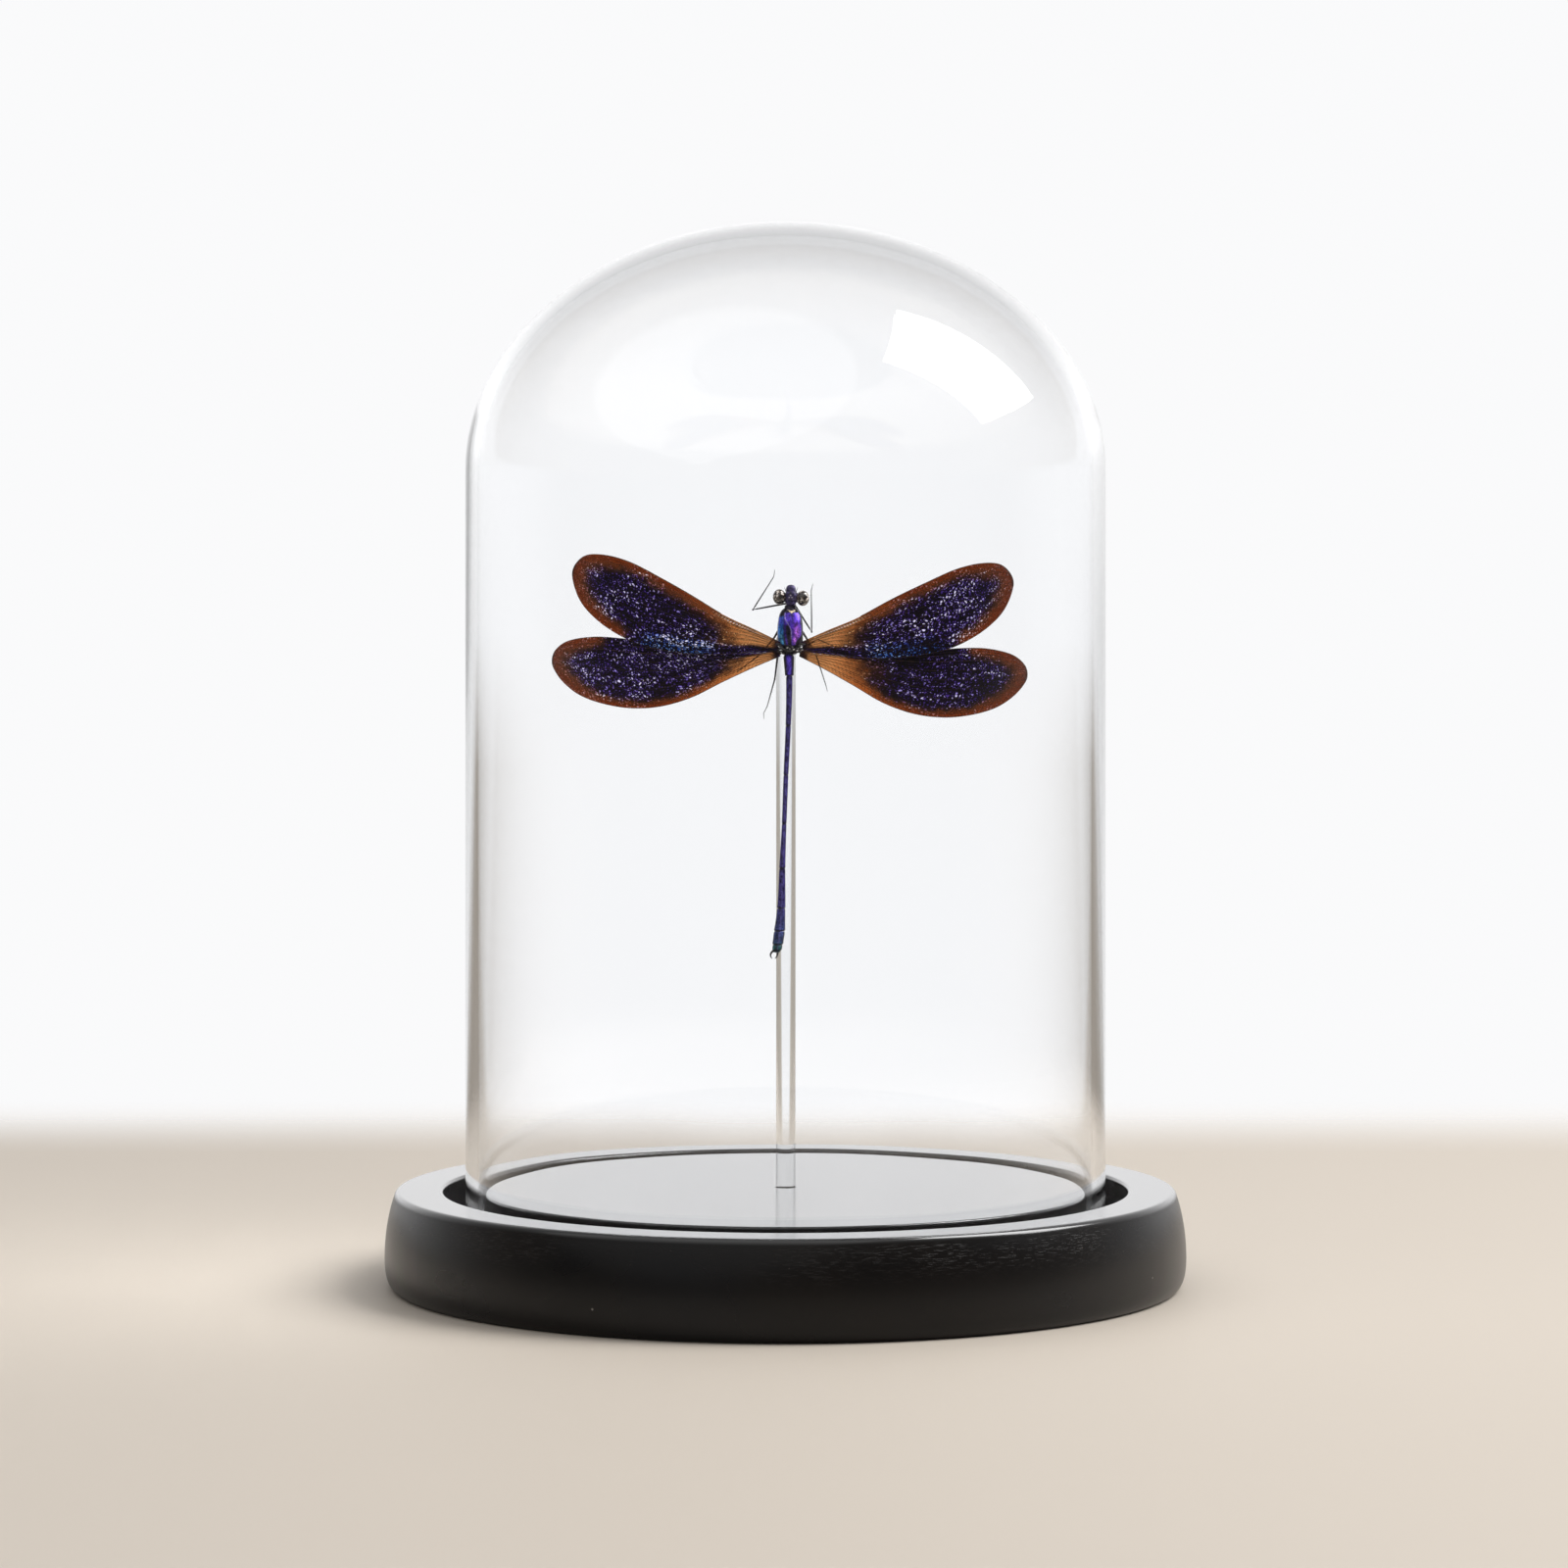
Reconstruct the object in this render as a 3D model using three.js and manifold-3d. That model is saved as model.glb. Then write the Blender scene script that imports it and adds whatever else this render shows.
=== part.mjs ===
// A broad-winged damselfly on a clear rod, in a blown glass dome on a turned black wooden base.
// Millimetres, +Z up. The origin is the centre of the base's underside. The insect's back faces -Y.

import * as THREE from "three";
import { mergeVertices } from "three/addons/utils/BufferGeometryUtils.js";
import Module from "manifold-3d";

const wasm = await Module();
wasm.setup();

// ---- driving dimensions -------------------------------------------------------------------

const TURN_SIDES = 50; // facets round the base and the dome

const BASE_HEIGHT = 15;
const BASE_BELLY_RADIUS = 62.75; // widest, low on the side
const BASE_BELLY_HEIGHT = 4.6;
const BASE_TOP_RADIUS = 61.3; // where the side meets the top edge's round
const BASE_FOOT_RADIUS = 60.6; // flat underside
const TOP_EDGE_ROUND = 0.9;
const GROOVE_OUTER_RADIUS = 53.6;
const GROOVE_INNER_RADIUS = 47;
const GROOVE_DEPTH = 5;
const GROOVE_BEVEL = 0.35;
const ROD_SOCKET_DEPTH = 6;
const ROD_CLEARANCE = 0.1; // round the rod, in its socket

const DOME_RADIUS = 50.2; // outside
const DOME_WALL = 2;
const DOME_SPRING_HEIGHT = 127.6; // where the straight wall turns into the crown
const DOME_CROWN_RISE = 38.8; // the crown is half an ellipse
const DOME_RIM_ROUND = 0.6;

const ROD_RADIUS = 1.5;
const ROD_SIDES = 20;
const ROD_TOP_HEIGHT = 101.6;

const WING_THICKNESS = 0.2;
const WING_PLEAT = 0.13; // height of the folds along the main veins
const WING_BOW = 0.9; // how far the tips lie behind the roots
const FOREWING_DEPTH = -4.55; // y of the wings' roots
const HINDWING_DEPTH = -3.9;

const GROOVE_FLOOR = BASE_HEIGHT - GROOVE_DEPTH;

// ---- closed meshes ------------------------------------------------------------------------

/** Merges shared corners, drops faces that have shrunk to a line, and turns all faces outwards. */
function closed(geometry) {
  const bare = geometry.clone();
  for (const name of Object.keys(bare.attributes)) {
    if (name !== "position") bare.deleteAttribute(name);
  }
  const merged = mergeVertices(bare, 1e-4);
  const position = merged.getAttribute("position");
  const corners = Array.from(merged.getIndex().array);
  const kept = [];
  let volume = 0;
  const a = new THREE.Vector3();
  const b = new THREE.Vector3();
  const c = new THREE.Vector3();
  for (let i = 0; i < corners.length; i += 3) {
    const [p, q, r] = corners.slice(i, i + 3);
    if (p === q || q === r || r === p) continue;
    kept.push([p, q, r]);
    a.fromBufferAttribute(position, p);
    b.fromBufferAttribute(position, q);
    c.fromBufferAttribute(position, r);
    volume += a.dot(b.cross(c));
  }
  const outward = volume > 0 ? kept : kept.map(([p, q, r]) => [p, r, q]);
  const result = new THREE.BufferGeometry();
  result.setAttribute("position", position.clone());
  result.setIndex(outward.flat());
  result.computeVertexNormals();
  return result;
}

/** Skins a row of rings, all with the same number of points, and closes both ends with a fan. */
function loft(rings, { closeStart = true, closeEnd = true } = {}) {
  const sides = rings[0].length;
  const points = rings.flat();
  const faces = [];
  for (let i = 0; i + 1 < rings.length; i++) {
    for (let j = 0; j < sides; j++) {
      const a = i * sides + j;
      const b = i * sides + ((j + 1) % sides);
      faces.push(a, b, b + sides, a, b + sides, a + sides);
    }
  }
  const fan = (ring, start, turn) => {
    const middle = ring.reduce((sum, p) => sum.add(p), new THREE.Vector3()).divideScalar(sides);
    const centre = points.push(middle) - 1;
    for (let j = 0; j < sides; j++) {
      const pair = [start + j, start + ((j + 1) % sides)];
      faces.push(centre, pair[turn ? 1 : 0], pair[turn ? 0 : 1]);
    }
  };
  if (closeStart) fan(rings[0], 0, true);
  if (closeEnd) fan(rings.at(-1), (rings.length - 1) * sides, false);
  const geometry = new THREE.BufferGeometry().setFromPoints(points);
  geometry.setIndex(faces);
  return closed(geometry);
}

/** Turns a path of (radius, height) about Z; the path starts and ends on the axis. */
function turned(path, curveDivisions, sides = TURN_SIDES) {
  const geometry = new THREE.LatheGeometry(path.getPoints(curveDivisions), sides);
  return closed(geometry.rotateX(Math.PI / 2));
}

/** An ellipsoid with half-axes along X, Y and Z. */
function ellipsoid(centre, halves, around = 11, along = 7) {
  const geometry = new THREE.SphereGeometry(1, around, along);
  geometry.scale(...halves);
  geometry.translate(...centre);
  return closed(geometry);
}

function solidOf(geometry) {
  const vertProperties = new Float32Array(geometry.getAttribute("position").array);
  const triVerts = new Uint32Array(geometry.getIndex().array);
  return new wasm.Manifold(new wasm.Mesh({ numProp: 3, vertProperties, triVerts }));
}

/** Joins closed geometries into one. */
function joined(geometries) {
  const solid = geometries.map(solidOf).reduce((whole, next) => whole.add(next));
  const mesh = solid.getMesh();
  const result = new THREE.BufferGeometry();
  const position = new Float32Array(mesh.vertProperties);
  result.setAttribute("position", new THREE.BufferAttribute(position, mesh.numProp));
  result.setIndex(Array.from(mesh.triVerts));
  return closed(result);
}

/** A round or oval limb along hand-placed stations of { at: [x, y, z], radius }. */
function limb(stations, sides = 6) {
  const points = stations.map(({ at }) => new THREE.Vector3(...at));
  const rings = points.map((point, i) => {
    const before = points[Math.max(i - 1, 0)];
    const after = points[Math.min(i + 1, points.length - 1)];
    const along = after.clone().sub(before).normalize();
    const first = new THREE.Vector3(0, 1, 0).cross(along).normalize();
    const second = along.clone().cross(first);
    return Array.from({ length: sides }, (_, j) => {
      const angle = (2 * Math.PI * j) / sides;
      return point
        .clone()
        .addScaledVector(first, stations[i].radius * Math.cos(angle))
        .addScaledVector(second, stations[i].radius * Math.sin(angle));
    });
  });
  return loft(rings);
}

/** An upright body of oval rings, one for each [height, x, y, halfWidth, halfDepth]. */
function ovals(stations, sides) {
  return loft(
    stations.map(([z, x, y, halfWidth, halfDepth]) =>
      Array.from({ length: sides }, (_, j) => {
        const angle = (2 * Math.PI * j) / sides;
        return new THREE.Vector3(x + halfWidth * Math.cos(angle), y + halfDepth * Math.sin(angle), z);
      }),
    ),
  );
}

// ---- base, dome and rod -------------------------------------------------------------------

/** One turned disc: bellied side, flat top with a ring groove for the dome, and the rod's socket. */
function baseGeometry() {
  const top = BASE_HEIGHT;
  const socketRadius = ROD_RADIUS + ROD_CLEARANCE;
  const path = new THREE.Path();
  path.moveTo(0, 0);
  path.lineTo(BASE_FOOT_RADIUS, 0);
  path.quadraticCurveTo(BASE_BELLY_RADIUS, 0, BASE_BELLY_RADIUS, BASE_BELLY_HEIGHT);
  path.quadraticCurveTo(
    BASE_BELLY_RADIUS, (BASE_BELLY_HEIGHT + top) / 2,
    BASE_TOP_RADIUS, top - TOP_EDGE_ROUND,
  );
  path.quadraticCurveTo(BASE_TOP_RADIUS - 0.2, top, BASE_TOP_RADIUS - 1.1 * TOP_EDGE_ROUND, top);
  path.lineTo(GROOVE_OUTER_RADIUS + GROOVE_BEVEL, top);
  path.lineTo(GROOVE_OUTER_RADIUS, top - GROOVE_BEVEL);
  path.lineTo(GROOVE_OUTER_RADIUS, GROOVE_FLOOR);
  path.lineTo(GROOVE_INNER_RADIUS, GROOVE_FLOOR);
  path.lineTo(GROOVE_INNER_RADIUS, top - GROOVE_BEVEL);
  path.lineTo(GROOVE_INNER_RADIUS - GROOVE_BEVEL, top);
  path.lineTo(socketRadius, top);
  path.lineTo(socketRadius, top - ROD_SOCKET_DEPTH);
  path.lineTo(0, top - ROD_SOCKET_DEPTH);
  return turned(path, 3);
}

/** A bell open below: a straight wall under a half-ellipse crown, with a fire-rounded rim. */
function domeGeometry() {
  const inside = DOME_RADIUS - DOME_WALL;
  const rise = DOME_CROWN_RISE - DOME_WALL;
  const path = new THREE.Path();
  path.moveTo(0, DOME_SPRING_HEIGHT + rise);
  path.ellipse(0, -rise, inside, rise, Math.PI / 2, 0, true);
  path.lineTo(inside, GROOVE_FLOOR + DOME_RIM_ROUND);
  path.lineTo(inside + DOME_RIM_ROUND, GROOVE_FLOOR);
  path.lineTo(DOME_RADIUS - DOME_RIM_ROUND, GROOVE_FLOOR);
  path.lineTo(DOME_RADIUS, GROOVE_FLOOR + DOME_RIM_ROUND);
  path.lineTo(DOME_RADIUS, DOME_SPRING_HEIGHT);
  path.ellipse(-DOME_RADIUS, 0, DOME_RADIUS, DOME_CROWN_RISE, 0, Math.PI / 2, false);
  return turned(path, 5);
}

/** The clear rod, from its socket in the base to the underside of the thorax. */
function rodGeometry() {
  const foot = BASE_HEIGHT - ROD_SOCKET_DEPTH + ROD_CLEARANCE;
  const length = ROD_TOP_HEIGHT - foot;
  const geometry = new THREE.CylinderGeometry(ROD_RADIUS, ROD_RADIUS, length, ROD_SIDES);
  geometry.rotateX(Math.PI / 2);
  geometry.translate(0, 0, foot + length / 2);
  return closed(geometry);
}

// ---- the damselfly's body -----------------------------------------------------------------

const HEAD = [0.82, -3.6, 107.62];
const EYE_HALVES = [0.95, 1.05, 1.2];
const EYES = { left: [-1.07, -3.6, 107.72], right: [2.68, -3.6, 107.5] };

/** Head capsule, face lobe and two round eyes, with a short bristle-like feeler above each eye. */
function headGeometry() {
  const [x, y, z] = HEAD;
  const feeler = (side) =>
    limb(
      [
        { at: [x + side * 0.65, y - 0.4, z + 0.55], radius: 0.1 },
        { at: [x + side * 0.85, y - 0.95, z + 1.1], radius: 0.07 },
        { at: [x + side * 1.05, y - 1.35, z + 1.65], radius: 0.03 },
      ],
      4,
    );
  return joined([
    ellipsoid(HEAD, [2.05, 1.15, 1.0], 12, 7),
    ellipsoid([x - 0.02, y - 0.1, z + 1.15], [0.8, 0.9, 1.0], 9, 7),
    ellipsoid(EYES.left, EYE_HALVES),
    ellipsoid(EYES.right, EYE_HALVES),
    feeler(-1),
    feeler(1),
  ]);
}

/** Neck, collar and the deep chest, with a raised seam down its back and four wing hinges. */
function thoraxGeometry() {
  const chest = ovals(
    [
      [106.5, 0.74, -3.5, 0.6, 0.55],
      [106.3, 0.7, -3.5, 0.86, 0.75],
      [105.95, 0.67, -3.5, 0.9, 0.85],
      [105.75, 0.65, -3.5, 1.12, 0.95],
      [105.3, 0.66, -3.5, 1.38, 1.2],
      [104.6, 0.68, -3.52, 1.68, 1.48],
      [103.8, 0.68, -3.55, 1.88, 1.72],
      [102.9, 0.67, -3.5, 2.02, 1.85],
      [101.9, 0.67, -3.5, 2.04, 1.85],
      [100.9, 0.68, -3.45, 1.96, 1.75],
      [100.35, 0.68, -3.4, 1.8, 1.62],
      [99.7, 0.63, -3.35, 1.5, 1.45],
      [99.2, 0.58, -3.25, 1.3, 1.3],
      [98.75, 0.5, -3.2, 1.02, 1.02],
    ],
    14,
  );
  const hinges = [-1, 1].flatMap((side) => [
    ellipsoid([0.75 + side * 1.2, -4.4, 100.4], [0.4, 0.4, 0.5], 6, 4),
    ellipsoid([0.62 + side * 1.15, -3.9, 99.35], [0.35, 0.45, 0.55], 6, 4),
  ]);
  const seam = limb(
    [
      { at: [0.1, -4.84, 104.5], radius: 0.14 },
      { at: [0.55, -5.32, 103.0], radius: 0.2 },
      { at: [0.8, -5.32, 101.6], radius: 0.2 },
      { at: [0.85, -5.0, 100.5], radius: 0.12 },
    ],
    5,
  );
  return joined([chest, seam, ...hinges]);
}

// Ten segments from the waist to the tail: the height of each lower joint, the body's centre there,
// and its half-width.
const ABDOMEN_JOINTS = [
  { z: 98.62, x: 0.46, half: 0.84 },
  { z: 95.4, x: 0.53, half: 0.64 },
  { z: 87.65, x: 0.37, half: 0.41 },
  { z: 79.9, x: 0.015, half: 0.38 },
  { z: 72.3, x: -0.26, half: 0.36 },
  { z: 65.3, x: -0.55, half: 0.475 },
  { z: 59.05, x: -0.72, half: 0.645 },
  { z: 55.5, x: -0.98, half: 0.86 },
  { z: 53.35, x: -1.26, half: 0.81 },
  { z: 52.4, x: -1.38, half: 0.66 },
];
const ABDOMEN_WAIST_DEPTH = -3.15; // y at the waist, closing on the rod's front below it
const ABDOMEN_TAIL_DEPTH = -2.45;

/** The y of the abdomen's centre line at height z: it settles onto the line beside the rod. */
const abdomenDepth = (z) =>
  ABDOMEN_TAIL_DEPTH + (ABDOMEN_WAIST_DEPTH - ABDOMEN_TAIL_DEPTH) * Math.exp((z - 98.62) / 5);

/** A slender jointed tail with a fine waist at each joint, and a pair of hooked claspers. */
function abdomenGeometry() {
  const stations = [];
  ABDOMEN_JOINTS.slice(1).forEach((lower, i) => {
    const upper = ABDOMEN_JOINTS[i];
    const length = upper.z - lower.z;
    const neck = Math.min(0.22, 0.15 * length);
    // The second segment narrows at once from the thick first one.
    const start = i === 1 ? 0.5 : upper.half;
    const at = (t, half) => {
      const z = upper.z - t * length;
      const x = upper.x + t * (lower.x - upper.x);
      stations.push([z, x, abdomenDepth(z), half, half * 0.95]);
    };
    at(0, 0.88 * start);
    at(neck / length, start);
    at(1 - neck / length, lower.half);
  });
  const end = ABDOMEN_JOINTS.at(-1);
  stations.push([end.z, end.x, abdomenDepth(end.z), 0.6, 0.57]);
  stations.push([end.z - 0.25, end.x - 0.05, abdomenDepth(end.z), 0.35, 0.33]);
  const depth = abdomenDepth(end.z);
  const clasper = (root, bulge, tip) =>
    limb([
      { at: [root, depth - 0.1, end.z + 0.1], radius: 0.2 },
      { at: [bulge, depth - 0.1, end.z - 0.55], radius: 0.17 },
      { at: [tip, depth - 0.1, end.z - 1.25], radius: 0.08 },
    ]);
  return joined([
    ovals(stations, 10),
    clasper(end.x - 0.35, end.x - 0.95, end.x - 0.75),
    clasper(end.x + 0.05, end.x + 0.1, end.x - 0.3),
  ]);
}

// ---- wings --------------------------------------------------------------------------------

// Half outlines as [share of the length, distance from the root-tip line]. The leading edge bulges to
// the plus side, towards the head.
const FOREWING_LEADING = [
  [0, 0.3], [0.13, 1.0], [0.28, 1.7], [0.45, 3.1], [0.61, 4.2], [0.76, 5.06], [0.88, 4.94], [0.966, 3.88],
];
const FOREWING_TIP = [1, 1.47];
const FOREWING_TRAILING = [
  [0, -1.0], [0.05, -1.6], [0.1, -2.2], [0.2, -3.8], [0.35, -5.5], [0.5, -6.4], [0.63, -6.63],
  [0.74, -6.03], [0.84, -4.82], [0.92, -3.13], [0.978, -0.73],
];
const HINDWING_LEADING = [
  [0, 0.2], [0.28, 0.6], [0.45, 1.45], [0.58, 2.27], [0.69, 3.05], [0.81, 3.49], [0.92, 3.06], [0.98, 1.78],
];
const HINDWING_TIP = [1, 0.14];
const HINDWING_TRAILING = [
  [0, -0.8], [0.11, -2.3], [0.25, -4.4], [0.39, -6.6], [0.53, -7.8], [0.66, -7.86], [0.78, -6.96],
  [0.88, -5.46], [0.95, -3.42], [0.99, -1.38],
];

const WINGS = {
  forewing_left: { side: -1, root: [-0.9, 100.38], rise: 17.6, length: 34.3, fore: true },
  forewing_right: { side: 1, root: [2.4, 100.38], rise: 14.7, length: 34.7, fore: true },
  hindwing_left: { side: -1, root: [-0.9, 99.25], rise: -2.6, length: 35.8, fore: false },
  hindwing_right: { side: 1, root: [2.15, 99.25], rise: -6.2, length: 35.9, fore: false },
};
const WING_ROWS = 15;
const WING_COLUMNS = 7;

/** A pleated blade: rows of points from the trailing to the leading edge, thickened along Y. */
function wingGeometry({ side, root, rise, length, fore }) {
  const leading = fore ? FOREWING_LEADING : HINDWING_LEADING;
  const tip = fore ? FOREWING_TIP : HINDWING_TIP;
  const trailing = fore ? FOREWING_TRAILING : HINDWING_TRAILING;
  const outline = new THREE.SplineCurve(
    [...leading, tip, ...[...trailing].reverse()].map(([t, off]) => new THREE.Vector2(t * length, off)),
  );
  const tipAt = leading.length / (leading.length + trailing.length);
  const angle = (rise * Math.PI) / 180;
  const depth = fore ? FOREWING_DEPTH : HINDWING_DEPTH;
  const place = (p, share, across, skin) => {
    const reach = side * (p.x * Math.cos(angle) - p.y * Math.sin(angle));
    const height = p.x * Math.sin(angle) + p.y * Math.cos(angle);
    // The folds run from root to tip, are strongest behind the leading edge and die out at the rim.
    const fold = Math.sin(Math.PI * across) * Math.cos(6 * Math.PI * across) * (1 - share) ** 0.5;
    const bow = WING_BOW * (p.x / length) ** 2;
    const y = depth + bow + WING_PLEAT * fold * Math.min(1, 6 * share) + (skin * WING_THICKNESS) / 2;
    return new THREE.Vector3(root[0] + reach, y, root[1] + height);
  };
  const rings = Array.from({ length: WING_ROWS + 1 }, (_, i) => {
    const share = Math.sin((Math.PI / 2) * (i / WING_ROWS));
    const front = outline.getPoint(share * tipAt);
    const back = outline.getPoint(1 - share * (1 - tipAt));
    const row = Array.from({ length: WING_COLUMNS + 1 }, (_, j) => j / WING_COLUMNS);
    const at = (across, skin) => place(back.clone().lerp(front, across), share, across, skin);
    return [...row.map((v) => at(v, -1)), ...row.reverse().map((v) => at(v, 1))];
  });
  return loft(rings, { closeEnd: false });
}

// ---- legs ---------------------------------------------------------------------------------

const THIGH = 0.2;
const SHIN = 0.14;
const FOOT = 0.09;
const LEG_SIDES = 5;

/** Straight tapered lengths from joint to joint, each run on a little so that they meet. */
function legGeometry(joints) {
  const lengths = joints.slice(1).map((lower, i) => {
    const upper = joints[i];
    const from = new THREE.Vector3(...upper.at);
    const to = new THREE.Vector3(...lower.at);
    const overrun = to.clone().sub(from).setLength(0.6 * lower.radius);
    const ends = [
      { at: from.sub(overrun).toArray(), radius: upper.radius },
      { at: to.add(overrun).toArray(), radius: lower.radius },
    ];
    return limb(ends, LEG_SIDES);
  });
  return joined(lengths);
}

// Joint by joint from the body to the claw.
const LEGS = {
  leg_fore_left: [
    { at: [0.4, -2.38, 105.85], radius: THIGH },
    { at: [0.2, -2.3, 106.72], radius: THIGH },
    { at: [-5.01, -2.6, 105.73], radius: SHIN },
    { at: [-1.84, -2.4, 110.88], radius: FOOT },
    { at: [-1.67, -2.4, 112.0], radius: FOOT },
  ],
  leg_fore_right: [
    { at: [1.0, -2.38, 105.85], radius: THIGH },
    { at: [1.25, -2.3, 106.7], radius: THIGH },
    { at: [4.01, -2.5, 102.25], radius: SHIN },
    { at: [3.95, -2.5, 108.76], radius: FOOT },
    { at: [4.2, -2.5, 109.8], radius: FOOT },
  ],
  leg_mid_left: [
    { at: [-1.2, -2.3, 102.35], radius: THIGH },
    { at: [-1.73, -2.2, 101.4], radius: THIGH },
    { at: [-3.81, -2.1, 98.8], radius: SHIN },
    { at: [-7.45, -2.3, 96.0], radius: FOOT },
  ],
  leg_mid_right: [
    { at: [2.55, -2.3, 102.3], radius: THIGH },
    { at: [3.55, -2.2, 100.7], radius: THIGH },
    { at: [4.55, -2.1, 99.15], radius: SHIN },
    { at: [6.25, -2.2, 93.9], radius: FOOT },
    { at: [6.51, -2.2, 92.9], radius: FOOT },
  ],
  leg_hind_left: [
    { at: [-0.62, -2.25, 99.2], radius: THIGH },
    { at: [-1.26, -2.1, 98.45], radius: THIGH },
    { at: [-1.7, -2.1, 94.85], radius: SHIN },
    { at: [-2.85, -2.1, 90.6], radius: FOOT },
    { at: [-3.4, -2.1, 89.5], radius: FOOT },
    { at: [-3.37, -2.1, 88.6], radius: FOOT },
  ],
  leg_hind_right: [
    { at: [1.75, -2.1, 99.3], radius: THIGH },
    { at: [2.3, -1.8, 99.5], radius: THIGH },
    { at: [4.9, -2.1, 101.1], radius: SHIN },
    { at: [7.9, -2.4, 99.9], radius: FOOT },
    { at: [8.7, -2.4, 99.5], radius: FOOT },
  ],
};

// ---- assembly -----------------------------------------------------------------------------

const assembly = new THREE.Group();

/** Adds one named piece with a finish of its own. */
function add(name, geometry, color, roughness, metalness, opacity = 1) {
  const transparent = opacity < 1;
  const material = new THREE.MeshStandardMaterial({ color, roughness, metalness, opacity, transparent });
  material.name = name;
  const mesh = new THREE.Mesh(geometry, material);
  mesh.name = name;
  assembly.add(mesh);
}

add("base", baseGeometry(), 0x161514, 0.45, 0);
add("dome", domeGeometry(), 0xf4f8f8, 0.02, 0, 0.2);
add("rod", rodGeometry(), 0xf2f5f4, 0.05, 0, 0.4);
add("head", headGeometry(), 0x24202c, 0.35, 0.3);
add("thorax", thoraxGeometry(), 0x5a2ec4, 0.3, 0.7);
add("abdomen", abdomenGeometry(), 0x35306a, 0.35, 0.6);
for (const [name, wing] of Object.entries(WINGS)) {
  add(name, wingGeometry(wing), 0x2a1530, 0.4, 0.4, 0.95);
}
for (const [name, joints] of Object.entries(LEGS)) {
  add(name, legGeometry(joints), 0x141216, 0.5, 0);
}

export default assembly;
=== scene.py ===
import bmesh
import bpy
import numpy as np
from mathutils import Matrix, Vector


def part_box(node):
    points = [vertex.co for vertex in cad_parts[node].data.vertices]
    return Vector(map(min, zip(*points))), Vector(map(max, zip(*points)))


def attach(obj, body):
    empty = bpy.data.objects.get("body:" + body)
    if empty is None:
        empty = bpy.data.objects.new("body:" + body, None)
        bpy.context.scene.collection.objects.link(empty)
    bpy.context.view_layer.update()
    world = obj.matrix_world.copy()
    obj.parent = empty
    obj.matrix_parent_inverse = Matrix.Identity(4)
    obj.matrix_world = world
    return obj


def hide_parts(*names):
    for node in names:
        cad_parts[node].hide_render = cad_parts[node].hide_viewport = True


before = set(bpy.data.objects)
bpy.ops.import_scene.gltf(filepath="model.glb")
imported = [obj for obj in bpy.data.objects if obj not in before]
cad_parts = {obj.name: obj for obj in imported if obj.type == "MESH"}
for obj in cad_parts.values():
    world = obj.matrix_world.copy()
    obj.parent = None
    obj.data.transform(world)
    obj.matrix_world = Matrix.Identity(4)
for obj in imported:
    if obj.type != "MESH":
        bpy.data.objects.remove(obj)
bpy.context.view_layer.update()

MM = 0.001

# ---- Camera ----
# It stands level at the height of the insect's waist and looks straight at the dome, with the
# picture shifted down so that the whole base is in view.
CAMERA_PLACE = (-0.23 * MM, -700 * MM, 101.3 * MM)
PICTURE_WIDTH = 36.0
FOCAL_LENGTH = 2.8406 * PICTURE_WIDTH
SHIFT_DOWN = -0.0932  # in picture widths

camera = bpy.data.objects.new("camera", bpy.data.cameras.new("camera"))
camera.data.sensor_width = PICTURE_WIDTH
camera.data.lens = FOCAL_LENGTH
camera.data.shift_y = SHIFT_DOWN
camera.location = CAMERA_PLACE
camera.rotation_euler = (np.pi / 2, 0, 0)
bpy.context.scene.collection.objects.link(camera)
bpy.context.scene.camera = camera

# ---- Base ----
# One disc of close-grained wood, turned on a lathe and sprayed satin black. Its side is bellied,
# and a ring groove, turned into the flat top, takes the rim of the dome.
BASE_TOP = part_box("base")[1].z / MM
BASE_SIDES = 256
BELLY_RADIUS, BELLY_HEIGHT = 62.75, 4.6
TOP_RADIUS, TOP_ROUND, TOP_LEAN = 61.3, 0.9, 0.2
FOOT_RADIUS, FOOT_ROUND = 60.6, 1.0
GROOVE_OUTER, GROOVE_INNER = 53.6, 47.0
GROOVE_FLOOR = BASE_TOP - 5
FLOOR_ROUND = 0.5
GROOVE_BEVEL = 0.35
OUTER_LIP = 0.6
SOCKET_RADIUS, SOCKET_BEVEL = 1.6, 0.1
SOCKET_FLOOR = BASE_TOP - 6
INNER_RING, OUTER_RING = 30, 58  # spare rings, which keep the shading of the wide flats even
SAME_PLACE = 1e-8


def bend(start, pull, end, steps):
    """Points on the quadratic curve (1-t)^2 start + 2t(1-t) pull + t^2 end."""
    t = np.linspace(0, 1, steps)[:, None]
    start, pull, end = map(np.array, (start, pull, end))
    return (1 - t) ** 2 * start + 2 * t * (1 - t) * pull + t**2 * end


def grid_faces(rows, columns, wrap=False):
    """Quads of a grid whose points run row by row; wrap joins the last column to the first."""
    i = np.arange(rows - 1)[:, None]
    j = np.arange(columns if wrap else columns - 1)[None, :]
    k = (j + 1) % columns
    quads = [i * columns + j, i * columns + k, (i + 1) * columns + k, (i + 1) * columns + j]
    return np.stack([np.broadcast_to(q, (rows - 1, j.shape[1])) for q in quads], -1).reshape(-1, 4)


def surface(points, wrap=False):
    """A grid of points, row by row, as a list of points with their quads."""
    return points.reshape(-1, 3), grid_faces(*points.shape[:2], wrap)


def around(sides):
    """The angles of a ring's points, as one row."""
    return (np.arange(sides) * 2 * np.pi / sides)[None, :]


def turned(profile, sides):
    """Surface of revolution: (radius, height) rows become (r cos a, r sin a, height) rings."""
    angle = around(sides)
    radius, height = np.asarray(profile, float).T[:, :, None]
    ring = np.stack([radius * np.cos(angle), radius * np.sin(angle), height + 0 * angle], -1)
    return surface(ring, wrap=True)


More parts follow.
